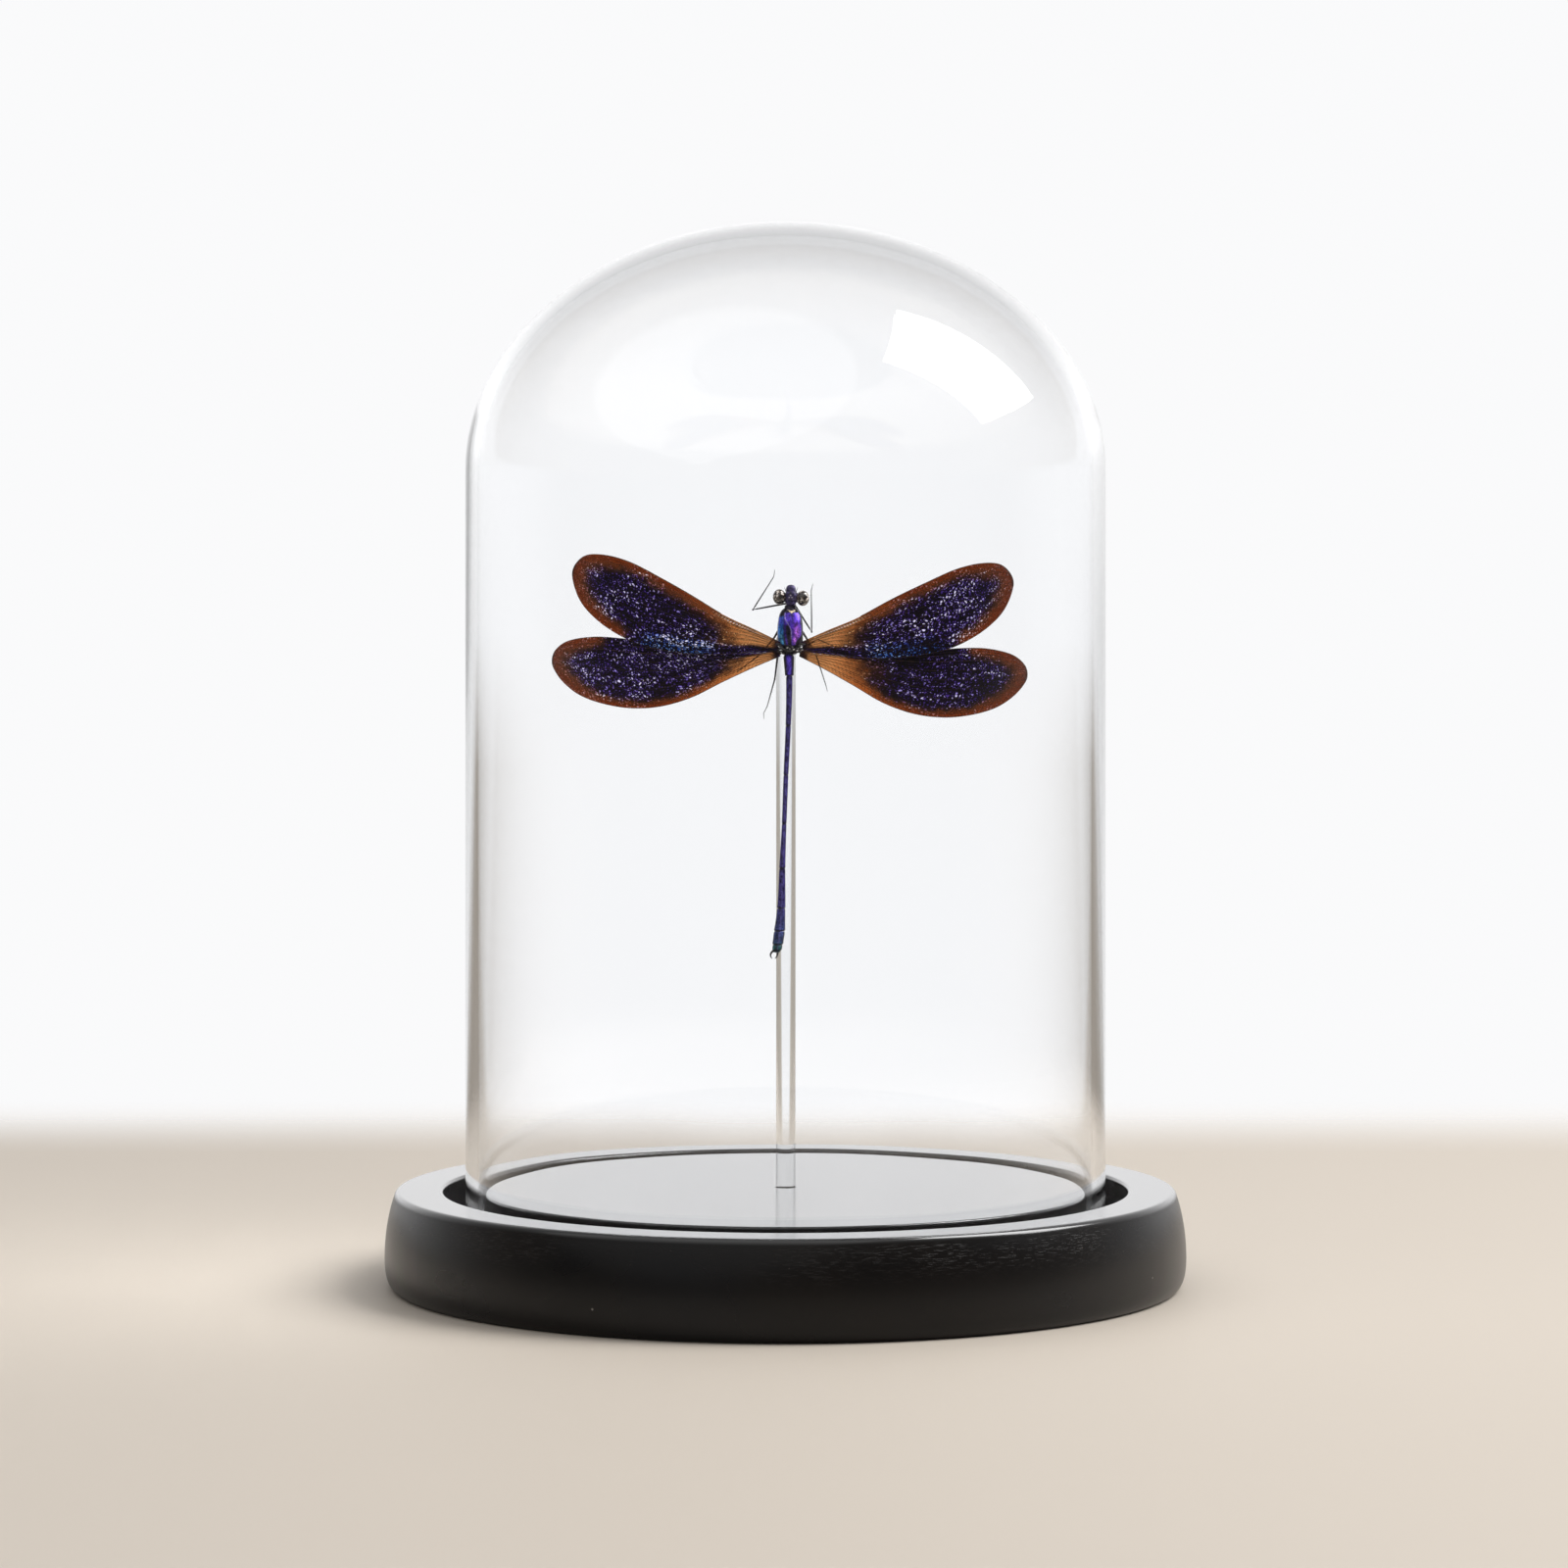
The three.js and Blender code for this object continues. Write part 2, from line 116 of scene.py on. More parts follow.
def piece(name, surfaces, node, values=None, smooth=True):
    """Makes one mesh from (points in mm, faces) surfaces, welds its seams and poles, turns its
    faces outwards, and sets it on the root body in place of the CAD node that it stands for.
    The values are stored at its points as numbers or as colours with alpha."""
    counts = np.cumsum([0] + [len(points) for points, _ in surfaces])
    points = np.concatenate([points for points, _ in surfaces]) * MM
    faces = [tuple(f) for (_, fs), n in zip(surfaces, counts) for f in (np.asarray(fs) + n).tolist()]
    mesh = bpy.data.meshes.new(name)
    mesh.from_pydata(points.tolist(), [], faces)
    for key, array in (values or {}).items():
        kind, field = ("FLOAT_COLOR", "color") if array.ndim == 2 else ("FLOAT", "value")
        layer = mesh.attributes.new(key, kind, "POINT")
        layer.data.foreach_set(field, array.astype(np.float32).ravel())
    work = bmesh.new()
    work.from_mesh(mesh)
    bmesh.ops.remove_doubles(work, verts=work.verts, dist=SAME_PLACE)
    bmesh.ops.dissolve_degenerate(work, dist=SAME_PLACE / 10, edges=work.edges)
    bmesh.ops.recalc_face_normals(work, faces=work.faces)
    work.to_mesh(mesh)
    work.free()
    mesh.polygons.foreach_set("use_smooth", np.full(len(mesh.polygons), smooth))
    made = bpy.data.objects.new(name, mesh)
    bpy.context.scene.collection.objects.link(made)
    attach(made, "root")
    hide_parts(node)
    return made


class Wiring:
    """A node tree being wired up. A colour or a number may be a constant or another node's result."""

    def __init__(self, tree):
        self.tree = tree

    def set(self, node, **inputs):
        """Sets or links inputs by name; _0, _1 and so on are inputs by number."""
        for key, value in inputs.items():
            socket = node.inputs[int(key[1:]) if key[1:].isdigit() else key.replace("_", " ")]
            if isinstance(value, bpy.types.NodeSocket):
                self.tree.links.new(value, socket)
            else:
                socket.default_value = value

    def node(self, kind, settings=None, **inputs):
        made = self.tree.nodes.new("ShaderNode" + kind)
        for key, value in (settings or {}).items():
            setattr(made, key, value)
        self.set(made, **inputs)
        return made

    def place(self, scale):
        """The piece's own coordinates, stretched by a scale for each axis."""
        where = self.node("TexCoord").outputs["Object"]
        return self.node("Mapping", Vector=where, Scale=scale).outputs[0]

    def noise(self, scale, detail, result="Fac"):
        """Cloudy noise with scale clouds to the metre, in all or in each of the three directions."""
        scale = scale if isinstance(scale, tuple) else (scale,) * 3
        return self.node("TexNoise", Vector=self.place(scale), Scale=1.0, Detail=detail).outputs[result]

    def ramp(self, value, *stops):
        """A colour ramp of (place, colour or grey) stops."""
        made = self.node("ValToRGB", Fac=value)
        elements = made.color_ramp.elements
        while len(elements) < len(stops):
            elements.new(0.5)
        for element, (at, colour) in zip(elements, stops):
            element.position = at
            grey = (colour,) * 3 if isinstance(colour, (int, float)) else colour
            element.color = (*grey, 1)
        return made.outputs["Color"]

    def math(self, operation, a, b=0.0, c=0.0, clamp=False):
        settings = {"operation": operation, "use_clamp": clamp}
        return self.node("Math", settings, _0=a, _1=b, _2=c).outputs[0]

    def times(self, first, *others):
        for other in others:
            first = self.math("MULTIPLY", first, other)
        return first

    def all_but(self, share):
        return self.math("SUBTRACT", 1.0, share)

    def vector(self, operation, a, **others):
        return self.node("VectorMath", {"operation": operation}, _0=a, **others)

    def blend(self, share, a, b, kind="MIX"):
        """Colour a passing into colour b; a constant colour has no alpha."""
        a, b = ((*tone, 1) if isinstance(tone, tuple) else tone for tone in (a, b))
        made = self.node("Mix", {"data_type": "RGBA", "blend_type": kind})
        self.set(made, _0=share, _6=a, _7=b)
        return made.outputs[2]

    def between(self, share, a, b):
        """Number a passing into number b."""
        return self.node("Mix", {"data_type": "FLOAT"}, _0=share, _2=a, _3=b).outputs[0]

    def attribute(self, name, result="Fac"):
        return self.node("Attribute", {"attribute_name": name}).outputs[result]


class Finish(Wiring):
    """A material being wired up around its main shader."""

    def __init__(self, name, **shader):
        self.material = bpy.data.materials.new(name)
        self.material.use_nodes = True
        super().__init__(self.material.node_tree)
        self.shader = self.tree.nodes["Principled BSDF"]
        self.shade(**shader)

    def shade(self, **shader):
        self.set(self.shader, **shader)

    def relief(self, height, strength, depth):
        """Makes the surface look raised by up to depth, in metres, where height is 1."""
        bump = self.node("Bump", Strength=strength, Distance=depth, Height=height)
        self.shade(Normal=bump.outputs[0])

    def mix_with(self, share, a, b):
        """The whole surface is shader a, passing into shader b."""
        both = self.node("MixShader", _0=share, _1=a.outputs[0], _2=b.outputs[0])
        self.tree.links.new(both.outputs[0], self.tree.nodes["Material Output"].inputs["Surface"])

    def put_on(self, *pieces):
        for dressed in pieces:
            dressed.data.materials.append(self.material)


def mottled(name, clouds, detail, *tones, raised=None, **shader):
    """A finish whose colour runs through the tones in clouds, which may be raised as well."""
    made = Finish(name, **shader)
    noise = made.noise(clouds, detail)
    made.shade(Base_Color=made.ramp(noise, *tones))
    if raised:
        made.relief(noise, *raised)
    return made


base_profile = np.concatenate([
    [(0, 0), (INNER_RING, 0), (FOOT_RADIUS - FOOT_ROUND, 0)],
    bend((FOOT_RADIUS, 0), (BELLY_RADIUS, 0), (BELLY_RADIUS, BELLY_HEIGHT), 14),
    bend((BELLY_RADIUS, BELLY_HEIGHT), (BELLY_RADIUS, (BELLY_HEIGHT + BASE_TOP) / 2),
         (TOP_RADIUS, BASE_TOP - TOP_ROUND), 16)[1:],
    bend((TOP_RADIUS, BASE_TOP - TOP_ROUND), (TOP_RADIUS - TOP_LEAN, BASE_TOP),
         (TOP_RADIUS - 1.1 * TOP_ROUND, BASE_TOP), 9)[1:],
    [(TOP_RADIUS - 1.2 * TOP_ROUND, BASE_TOP), (OUTER_RING, BASE_TOP),
     (GROOVE_OUTER + 1.2 * OUTER_LIP, BASE_TOP)],
    bend((GROOVE_OUTER + OUTER_LIP, BASE_TOP), (GROOVE_OUTER, BASE_TOP),
         (GROOVE_OUTER, BASE_TOP - OUTER_LIP), 7),
    bend((GROOVE_OUTER, GROOVE_FLOOR + FLOOR_ROUND), (GROOVE_OUTER, GROOVE_FLOOR),
         (GROOVE_OUTER - FLOOR_ROUND, GROOVE_FLOOR), 5),
    bend((GROOVE_INNER + FLOOR_ROUND, GROOVE_FLOOR), (GROOVE_INNER, GROOVE_FLOOR),
         (GROOVE_INNER, GROOVE_FLOOR + FLOOR_ROUND), 5),
    bend((GROOVE_INNER, BASE_TOP - GROOVE_BEVEL), (GROOVE_INNER, BASE_TOP),
         (GROOVE_INNER - GROOVE_BEVEL, BASE_TOP), 5),
    [(GROOVE_INNER - 1.3 * GROOVE_BEVEL, BASE_TOP), (INNER_RING, BASE_TOP),
     (SOCKET_RADIUS + 2 * SOCKET_BEVEL, BASE_TOP), (SOCKET_RADIUS + SOCKET_BEVEL, BASE_TOP),
     (SOCKET_RADIUS, BASE_TOP - SOCKET_BEVEL), (SOCKET_RADIUS, SOCKET_FLOOR), (0, SOCKET_FLOOR)],
])
base = piece("turned_base", [turned(base_profile, BASE_SIDES)], "base")

# Fine turning lines run round the side, and pores of the wood show through the paint in patches
# just under the top edge. The flat top is even and glossier. A little dust lies on it all.
paint = Finish("satin_black_paint", IOR=1.5, Specular_IOR_Level=0.28, Coat_IOR=1.75, Coat_Roughness=0.12)
turning = paint.noise((18, 18, 5200), 3)
mottle = paint.noise((38, 38, 60), 4)
pores = paint.ramp(paint.noise((650, 650, 6500), 3), (0.56, 0.0), (0.66, 1.0))
height = paint.node("SeparateXYZ", Vector=paint.place((1, 1, 1 / (BASE_TOP * MM)))).outputs["Z"]
band = paint.ramp(height, (0.5, 0.0), (0.78, 1.0), (0.92, 1.0), (0.965, 0.0))
flat_top = paint.ramp(height, (0.94, 0.0), (0.985, 1.0))
pitted = paint.times(pores, band, paint.ramp(mottle, (0.42, 0.0), (0.6, 1.0)))
specks = paint.node("TexVoronoi", Vector=paint.place((150, 150, 150)), Scale=1.0)
dust = paint.ramp(specks.outputs["Distance"], (0.0, 1.0), (0.02, 1.0), (0.03, 0.0))
tone = paint.ramp(mottle, (0.35, (0.003, 0.0028, 0.0032)), (0.7, (0.0058, 0.0042, 0.0034)))
tone = paint.blend(paint.times(pitted, 0.2), tone, (0.04, 0.038, 0.04))
tone = paint.blend(flat_top, tone, (0.0045, 0.004, 0.004))
tone = paint.blend(paint.times(dust, 0.4), tone, (0.42, 0.4, 0.37))
gloss = paint.blend(flat_top, paint.ramp(mottle, (0.3, 0.26), (0.7, 0.3)), (0.28, 0.28, 0.28))
raised = paint.math("SUBTRACT", paint.times(turning, 0.16), paint.times(pitted, 0.7))
paint.relief(paint.times(raised, paint.all_but(flat_top)), 0.5, 0.05 * MM)
paint.shade(Base_Color=tone, Roughness=gloss, Coat_Weight=paint.times(flat_top, 0.92))
paint.put_on(base)

# ---- Dome ----
# A bell of clear blown glass with a wall of about two millimetres, open below. Its rim is melted
# round and stands on the floor of the groove. The hand-drawn wall is very slightly uneven.
DOME_RADIUS, DOME_WALL = 50.2, 2.0
DOME_SPRING = 127.6  # height at which the straight wall ends and the crown begins
DOME_RISE = 38.8
DOME_SIDES, CROWN_STEPS, WALL_STEPS, RIM_STEPS = 224, 40, 26, 12
INNER_WAVE = 0.035
WAVES = ((3, 2, 1.0), (7, -3, 0.6), (13, 1, 0.4))  # waves round, waves up, strength
WAVES_FROM, WAVES_FADE = 2, 10  # height above the rim at which they begin, and over which they grow

crown = np.linspace(0, np.pi / 2, CROWN_STEPS)
rim = np.linspace(0, np.pi, RIM_STEPS)
inner_radius, inner_rise = DOME_RADIUS - DOME_WALL, DOME_RISE - DOME_WALL
rim_height = GROOVE_FLOOR + DOME_WALL / 2
straight = rim_height + np.linspace(1, 0, WALL_STEPS)[1:-1] * (DOME_SPRING - rim_height)
dome_profile = np.concatenate([
    np.stack([inner_radius * np.sin(crown), DOME_SPRING + inner_rise * np.cos(crown)], -1),
    np.stack([np.full_like(straight, inner_radius), straight], -1),
    np.stack([DOME_RADIUS - DOME_WALL / 2 * (1 + np.cos(rim)),
              rim_height - DOME_WALL / 2 * np.sin(rim)], -1),
    np.stack([np.full_like(straight, DOME_RADIUS), straight[::-1]], -1),
    np.stack([DOME_RADIUS * np.cos(crown), DOME_SPRING + DOME_RISE * np.sin(crown)], -1),
])
dome_points, dome_faces = turned(dome_profile, DOME_SIDES)
# The inside wall swells by a few hundredths of a millimetre in slow waves round and up the bell.
bearing = np.arctan2(dome_points[:, 1], dome_points[:, 0])
from_axis = np.hypot(dome_points[:, 0], dome_points[:, 1])
up = dome_points[:, 2] / DOME_SPRING
above_rim = dome_points[:, 2] - rim_height
swell = sum(share * np.sin(turns * bearing + climbs * up) for turns, climbs, share in WAVES)
inside = (from_axis < DOME_RADIUS - 0.7 * DOME_WALL) & (above_rim > WAVES_FROM)
fade = np.clip((above_rim - WAVES_FROM) / WAVES_FADE, 0, 1) * from_axis / inner_radius
dome_points[:, :2] *= (1 + INNER_WAVE / inner_radius * swell * fade * inside)[:, None]
dome = piece("glass_dome", [(dome_points, dome_faces)], "dome")
dome.visible_shadow = False

glass = Finish("blown_glass", Base_Color=(0.990, 0.994, 1.0, 1), Roughness=0.0, IOR=1.47,
               Transmission_Weight=1.0)
glass.relief(glass.noise((26, 26, 5), 1), 0.06, 0.4 * MM)
glass.put_on(dome)

# ---- Rod ----
# A clear drawn rod with a melted top. It stands in its socket in the base, and the insect's chest
# is fixed to its front near the top.
ROD_RADIUS, ROD_BEVEL, ROD_ROUND = 1.5, 0.15, 0.5
ROD_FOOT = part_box("rod")[0].z / MM
ROD_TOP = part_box("rod")[1].z / MM
ROD_SIDES, ROD_RINGS = 64, 30
rod_end = np.linspace(0, np.pi / 2, 8)
rod_profile = np.concatenate([
    [(0, ROD_FOOT), (ROD_RADIUS - ROD_BEVEL, ROD_FOOT), (ROD_RADIUS, ROD_FOOT + ROD_BEVEL)],
    np.stack([np.full(ROD_RINGS, ROD_RADIUS), np.linspace(ROD_FOOT + 1, ROD_TOP - 1, ROD_RINGS)], -1),
    (ROD_RADIUS, ROD_TOP) - ROD_ROUND * (1 - np.stack([np.cos(rod_end), np.sin(rod_end)], -1)),
    [(0, ROD_TOP)],
])
rod = piece("clear_rod", [turned(rod_profile, ROD_SIDES)], "rod")
rod.visible_shadow = False
rod_glass = Finish("drawn_rod_glass", Base_Color=(0.975, 0.982, 0.985, 1), Roughness=0.0, IOR=1.49,
                   Transmission_Weight=1.0)
rod_glass.relief(rod_glass.noise((500, 500, 8), 1), 0.05, 0.1 * MM)
rod_glass.put_on(rod)

# ---- Thorax ----
# The insect's chest: neck, narrow collar with a pale mark, and the deep box of flight muscle under
# metallic violet plates with dark seams. The wings hinge on small dark knobs at its lower end.
THORAX_STATIONS = np.array([
    # height, x, y, half-width, half-depth
    (106.75, 0.76, -3.5, 0.3, 0.3), (106.5, 0.74, -3.5, 0.68, 0.6), (106.3, 0.70, -3.5, 0.86, 0.75),
    (105.95, 0.67, -3.5, 0.90, 0.85), (105.75, 0.65, -3.5, 1.15, 0.95), (105.3, 0.66, -3.5, 1.50, 1.2),
    (104.6, 0.68, -3.52, 1.76, 1.48), (103.8, 0.68, -3.55, 1.89, 1.72), (102.9, 0.67, -3.5, 1.96, 1.85),
    (101.9, 0.67, -3.5, 1.98, 1.85), (100.9, 0.68, -3.45, 1.94, 1.75), (100.35, 0.68, -3.4, 1.82, 1.62),
    (99.7, 0.63, -3.35, 1.5, 1.45), (99.2, 0.58, -3.25, 1.3, 1.3), (98.75, 0.5, -3.2, 1.02, 1.02),
    (98.6, 0.48, -3.15, 0.6, 0.6),
])
THORAX_ROWS, THORAX_SIDES = 170, 132
# Lines down the back. Each has its place across at the top, where -1 is the left edge and 1 the
# right, its shift lower down, and the heights between which it shifts.
SEAM = (-0.5, 0.56, (104.9, 102.2))
BROAD_PLATE_END = (0.88, -0.42, (101.9, 100.4))
LEFT_LINE = (-0.42, 0.12, (102.5, 100.6))
SEAM_WIDTH, LEFT_LINE_WIDTH = 0.045, 0.07
# Places across, and heights, between which a mark of the back comes or goes.
SMALL_PLATE_EDGE, SMALL_PLATE_END = (-0.52, -0.44), (103.1, 103.6)
FLANK_LEFT, FLANK_RIGHT, FLANK_TOP = (-0.97, -0.9), (-0.5, -0.56), (104.9, 104.2)
CHEST_TOP, CHEST_END = (105.35, 105.0), (100.05, 100.4)
COLLAR_FROM, SHOULDER_FROM = (105.35, 105.6), (102.8, 103.8)
LEFT_LINE_TOP, SEAM_HIGHLIGHT_FROM = (103.4, 103.0), (100.8, 101.6)
NOTCH_FROM, HINGE_FROM = (104.5, 105.0), (100.5, 100.1)
NOTCH_ACROSS, NOTCH_WIDTH = 0.12, 0.1
PLATE_RISE, SEAM_RISE, NOTCH_SINK, HINGE_RISE = 0.03, 0.035, 0.04, 0.03  # shares of the radius
# Painted highlights on the plates: height and its spread, place across and its spread.
PINK_HIGHLIGHTS = ((102.2, 1.1, 0.5, 0.2), (100.9, 0.4, 0.34, 0.1))
CYAN_HIGHLIGHT = (101.2, 1.1, -0.68, 0.13)
# The pale mark on the collar is a small triangle, point down, with a hollow top edge.
MARK_X, MARK_POINT, MARK_HALF_WIDTH, MARK_HEIGHT, MARK_TOP = 0.88, 105.1, 0.68, 0.66, 105.52
VIOLET = np.array((0.085, 0.03, 0.50))
HIGHLIGHT_PINK = np.array((0.66, 0.20, 0.90))
SEAM_HIGHLIGHT_VIOLET = np.array((0.46, 0.36, 0.92))
SHOULDER_BLUE = np.array((0.05, 0.06, 0.55))
FLANK_BLUE = np.array((0.014, 0.15, 0.56))
HIGHLIGHT_CYAN = np.array((0.16, 0.62, 0.95))
SEAM_DARK = np.array((0.010, 0.007, 0.018))
COLLAR_DARK = np.array((0.022, 0.015, 0.035))
PALE_MARK = np.array((0.85, 0.68, 0.42))


def through(knots, values, at):
    """A smooth line through given values: cubic pieces whose slopes are central differences."""
    knots, values = np.asarray(knots, float), np.asarray(values, float)
    slope = np.gradient(values, knots, axis=0)
    k = np.clip(np.searchsorted(knots, at, side="right") - 1, 0, len(knots) - 2)
    gap = knots[k + 1] - knots[k]
    t = (np.asarray(at) - knots[k]) / gap
    if values.ndim > 1:
        t, gap = t[..., None], gap[..., None]
    a, b = values[k], values[k + 1]
    return (a * (1 + 2 * t) * (1 - t) ** 2 + slope[k] * gap * t * (1 - t) ** 2
            + b * t**2 * (3 - 2 * t) + slope[k + 1] * gap * t**2 * (t - 1))


def step(value, start, end):
    """0 at start and 1 at end, with a smooth S between, 3t^2 - 2t^3. It may run downwards."""
    t = np.clip((value - start) / (end - start), 0, 1)
    return t * t * (3 - 2 * t)


def hill(value, centre, width):
    """A soft hill: exp(-((value - centre) / width)^2)."""
    return np.exp(-(((value - centre) / width) ** 2))


def coated(colour, share, tone):
    """A colour under a coat of another tone that covers a share of it."""
    return colour * (1 - share[..., None]) + tone * share[..., None]


def skin_of(colour):
    """The colours of a grid of points, as what a piece stores at its points."""
    return {"skin": np.concatenate([colour, np.ones(colour.shape[:-1] + (1,))], -1).reshape(-1, 4)}


def lump(centre, halves, rows, sides, power=1.0):
    """An ellipsoid; a power under 1 makes it boxier: each sine and cosine is raised to it."""
    lift = np.linspace(-np.pi / 2, np.pi / 2, rows)[:, None]
    turn = around(sides)

    def box(v):
        return np.sign(v) * np.abs(v) ** power

    x = halves[0] * box(np.cos(lift)) * box(np.cos(turn))
    y = halves[1] * box(np.cos(lift)) * box(np.sin(turn))
    z = halves[2] * box(np.sin(lift)) + 0 * turn
    return surface(np.stack([x, y, z], -1) + centre, wrap=True)


level = np.linspace(THORAX_STATIONS[0, 0], THORAX_STATIONS[-1, 0], THORAX_ROWS)
shape = through(THORAX_STATIONS[::-1, 0], THORAX_STATIONS[::-1, 1:], level)[:, None, :]
turn = around(THORAX_SIDES)
z = level[:, None] + 0 * turn
across = np.cos(turn) + 0 * z
facing_back = np.clip(-np.sin(turn), 0, 1)


def slanting(place, shift, heights):
    """The place across of a line down the back, at every height."""
    return place + shift * step(z, *heights)


def painted_highlight(height, high, place, wide):
    """A soft bright patch on the back: a painted highlight."""
    return hill(z, height, high) * hill(across, place, wide)


# The seam down the back runs slantwise from the left shoulder to the middle. The broad plate lies
# right of it, a small one left of it at the shoulder, and the blue flank along the left edge.
seam_at, right_end = slanting(*SEAM), slanting(*BROAD_PLATE_END)
broad_plate = step(across, seam_at + 0.02, seam_at + 0.07) * step(across, right_end, right_end - 0.07)
small_plate = step(across, *SMALL_PLATE_EDGE) * step(across, seam_at, seam_at - 0.05)
small_plate *= step(z, *SMALL_PLATE_END)
left_line = hill(across, slanting(*LEFT_LINE), LEFT_LINE_WIDTH) * step(z, *LEFT_LINE_TOP)
flank = step(across, *FLANK_LEFT) * step(across, *FLANK_RIGHT) * step(z, *FLANK_TOP)
notch = hill(across, NOTCH_ACROSS, NOTCH_WIDTH) * step(z, *NOTCH_FROM)
back = (facing_back > 0.02) * step(z, *CHEST_END) * step(z, *CHEST_TOP)
rough_hinge = step(z, *HINGE_FROM) * np.sin(9 * turn) * np.sin(16 * z)
raised = PLATE_RISE * (broad_plate + small_plate + flank) - NOTCH_SINK * notch
raised += SEAM_RISE * hill(across, seam_at, SEAM_WIDTH)
swollen = 1 + raised * back + HINGE_RISE * rough_hinge
points = np.stack([
    shape[..., 0] + shape[..., 2] * across * swollen,
    shape[..., 1] + shape[..., 3] * np.sin(turn) * swollen,
    z,
], -1)
# Painted highlights: a pink one on the broad plate and a rippled cyan one on the blue flank.
pink_highlight = sum(painted_highlight(*place) for place in PINK_HIGHLIGHTS)
cyan_highlight = painted_highlight(*CYAN_HIGHLIGHT) * (1 + 0.6 * np.sin(7 * z + 9 * across))
# A painted highlight: a pale violet line just beside the raised seam, where the ridge catches the light.
seam_highlight = hill(across, seam_at + 0.03, 0.04) * step(z, *SEAM_HIGHLIGHT_FROM)
colour = SEAM_DARK * np.ones(points.shape)
for share, tone in (
    (broad_plate, VIOLET), (small_plate, 1.15 * VIOLET), (flank, FLANK_BLUE), (0.75 * left_line, VIOLET),
    (0.9 * flank * step(z, *SHOULDER_FROM), SHOULDER_BLUE), (0.8 * pink_highlight * broad_plate, HIGHLIGHT_PINK),
    (0.65 * cyan_highlight, HIGHLIGHT_CYAN), (0.8 * seam_highlight, SEAM_HIGHLIGHT_VIOLET), (0.85 * notch, SEAM_DARK),
):
    colour = coated(colour, np.clip(share * back, 0, 1), tone)
colour = coated(colour, step(z, *COLLAR_FROM), COLLAR_DARK)
mark_side = np.abs(points[..., 0] - MARK_X) / MARK_HALF_WIDTH
mark = (mark_side < (z - MARK_POINT) / MARK_HEIGHT) & (z < MARK_TOP + 0.24 * mark_side**1.4)
colour = np.where((mark & (facing_back > 0.2))[..., None], PALE_MARK, colour)
thorax = piece("thorax_plates", [surface(points, wrap=True)], "thorax", skin_of(colour))

cuticle = Finish("metallic_cuticle", Metallic=0.6, IOR=1.5, Coat_Weight=0.3, Coat_Roughness=0.14)
fine, broad = cuticle.noise(5000, 3), cuticle.noise((2300, 2300, 1300), 3)
shade = cuticle.ramp(broad, (0.36, 0.35), (0.5, 0.9), (0.66, 1.5))
cuticle.shade(Roughness=cuticle.ramp(fine, (0.35, 0.24), (0.7, 0.4)),
              Base_Color=cuticle.blend(1.0, cuticle.attribute("skin", "Color"), shade, "MULTIPLY"))
cuticle.relief(fine, 0.35, 0.03 * MM)
cuticle.put_on(thorax)

# The hinges are knobs of black shell where the wing roots meet the chest, with pale skin showing
# between them as small bright spots, which are painted highlights as well.
HINGE_KNOBS = (
    # x, y, height, half-length, half-height
    (-1.15, -4.5, 100.3, 0.55, 0.17), (-0.78, -4.65, 99.98, 0.36, 0.17), (-1.0, -4.3, 99.62, 0.45, 0.17),
    (-0.5, -4.75, 99.6, 0.28, 0.2), (-0.85, -4.0, 99.15, 0.42, 0.19), (-0.38, -4.4, 98.95, 0.26, 0.15),
    (2.5, -4.5, 100.3, 0.55, 0.17), (2.08, -4.65, 99.98, 0.36, 0.17), (2.3, -4.3, 99.62, 0.45, 0.17),
    (1.7, -4.75, 99.6, 0.28, 0.2), (2.05, -4.0, 99.15, 0.42, 0.19), (1.5, -4.35, 98.95, 0.26, 0.15),
    (0.28, -4.85, 99.8, 0.24, 0.22), (0.92, -4.85, 99.8, 0.26, 0.22), (0.62, -4.7, 99.3, 0.4, 0.2),
)
KNOB_HALF_DEPTH = 0.3
SADDLE_AT, SADDLE_HALVES = (0.6, -4.25, 99.5), (1.0, 0.5, 0.55)
# Pale spots of skin, painted bright so that they stand for highlights.
PALE_HIGHLIGHT_SPOTS = ((-1.1, -4.75, 100.0), (-0.62, -4.85, 99.45), (-0.72, -4.3, 99.05), (0.22, -5.12, 99.75),
              (0.62, -5.02, 99.6), (1.2, -5.05, 99.5), (2.28, -4.72, 99.95), (2.45, -4.35, 99.45),
              (1.75, -4.98, 99.3))
SPOT_HALVES = (0.12, 0.08, 0.09)
knobs = [lump(at, (long, KNOB_HALF_DEPTH, high), 14, 20) for *at, long, high in HINGE_KNOBS]
hinges = piece("wing_hinges", [*knobs, lump(SADDLE_AT, SADDLE_HALVES, 20, 28)], "thorax")
hinge_skin_highlights = piece("hinge_skin_highlights", [lump(at, SPOT_HALVES, 10, 14) for at in PALE_HIGHLIGHT_SPOTS], "thorax")
shell = mottled(
    "black_shell", 5200, 4, (0.4, (0.006, 0.005, 0.006)), (0.6, (0.02, 0.017, 0.015)),
    (0.72, (0.09, 0.08, 0.07)), raised=(0.6, 0.05 * MM), Roughness=0.4, Metallic=0.1, IOR=1.56,
    Coat_Weight=0.4, Coat_Roughness=0.15,
)
shell.put_on(hinges)
pale_skin_highlights = mottled("pale_skin_highlights", 4000, 2, (0.35, (0.35, 0.31, 0.28)), (0.6, (0.85, 0.82, 0.78)),
                    Roughness=0.35, IOR=1.45)
pale_skin_highlights.put_on(hinge_skin_highlights)

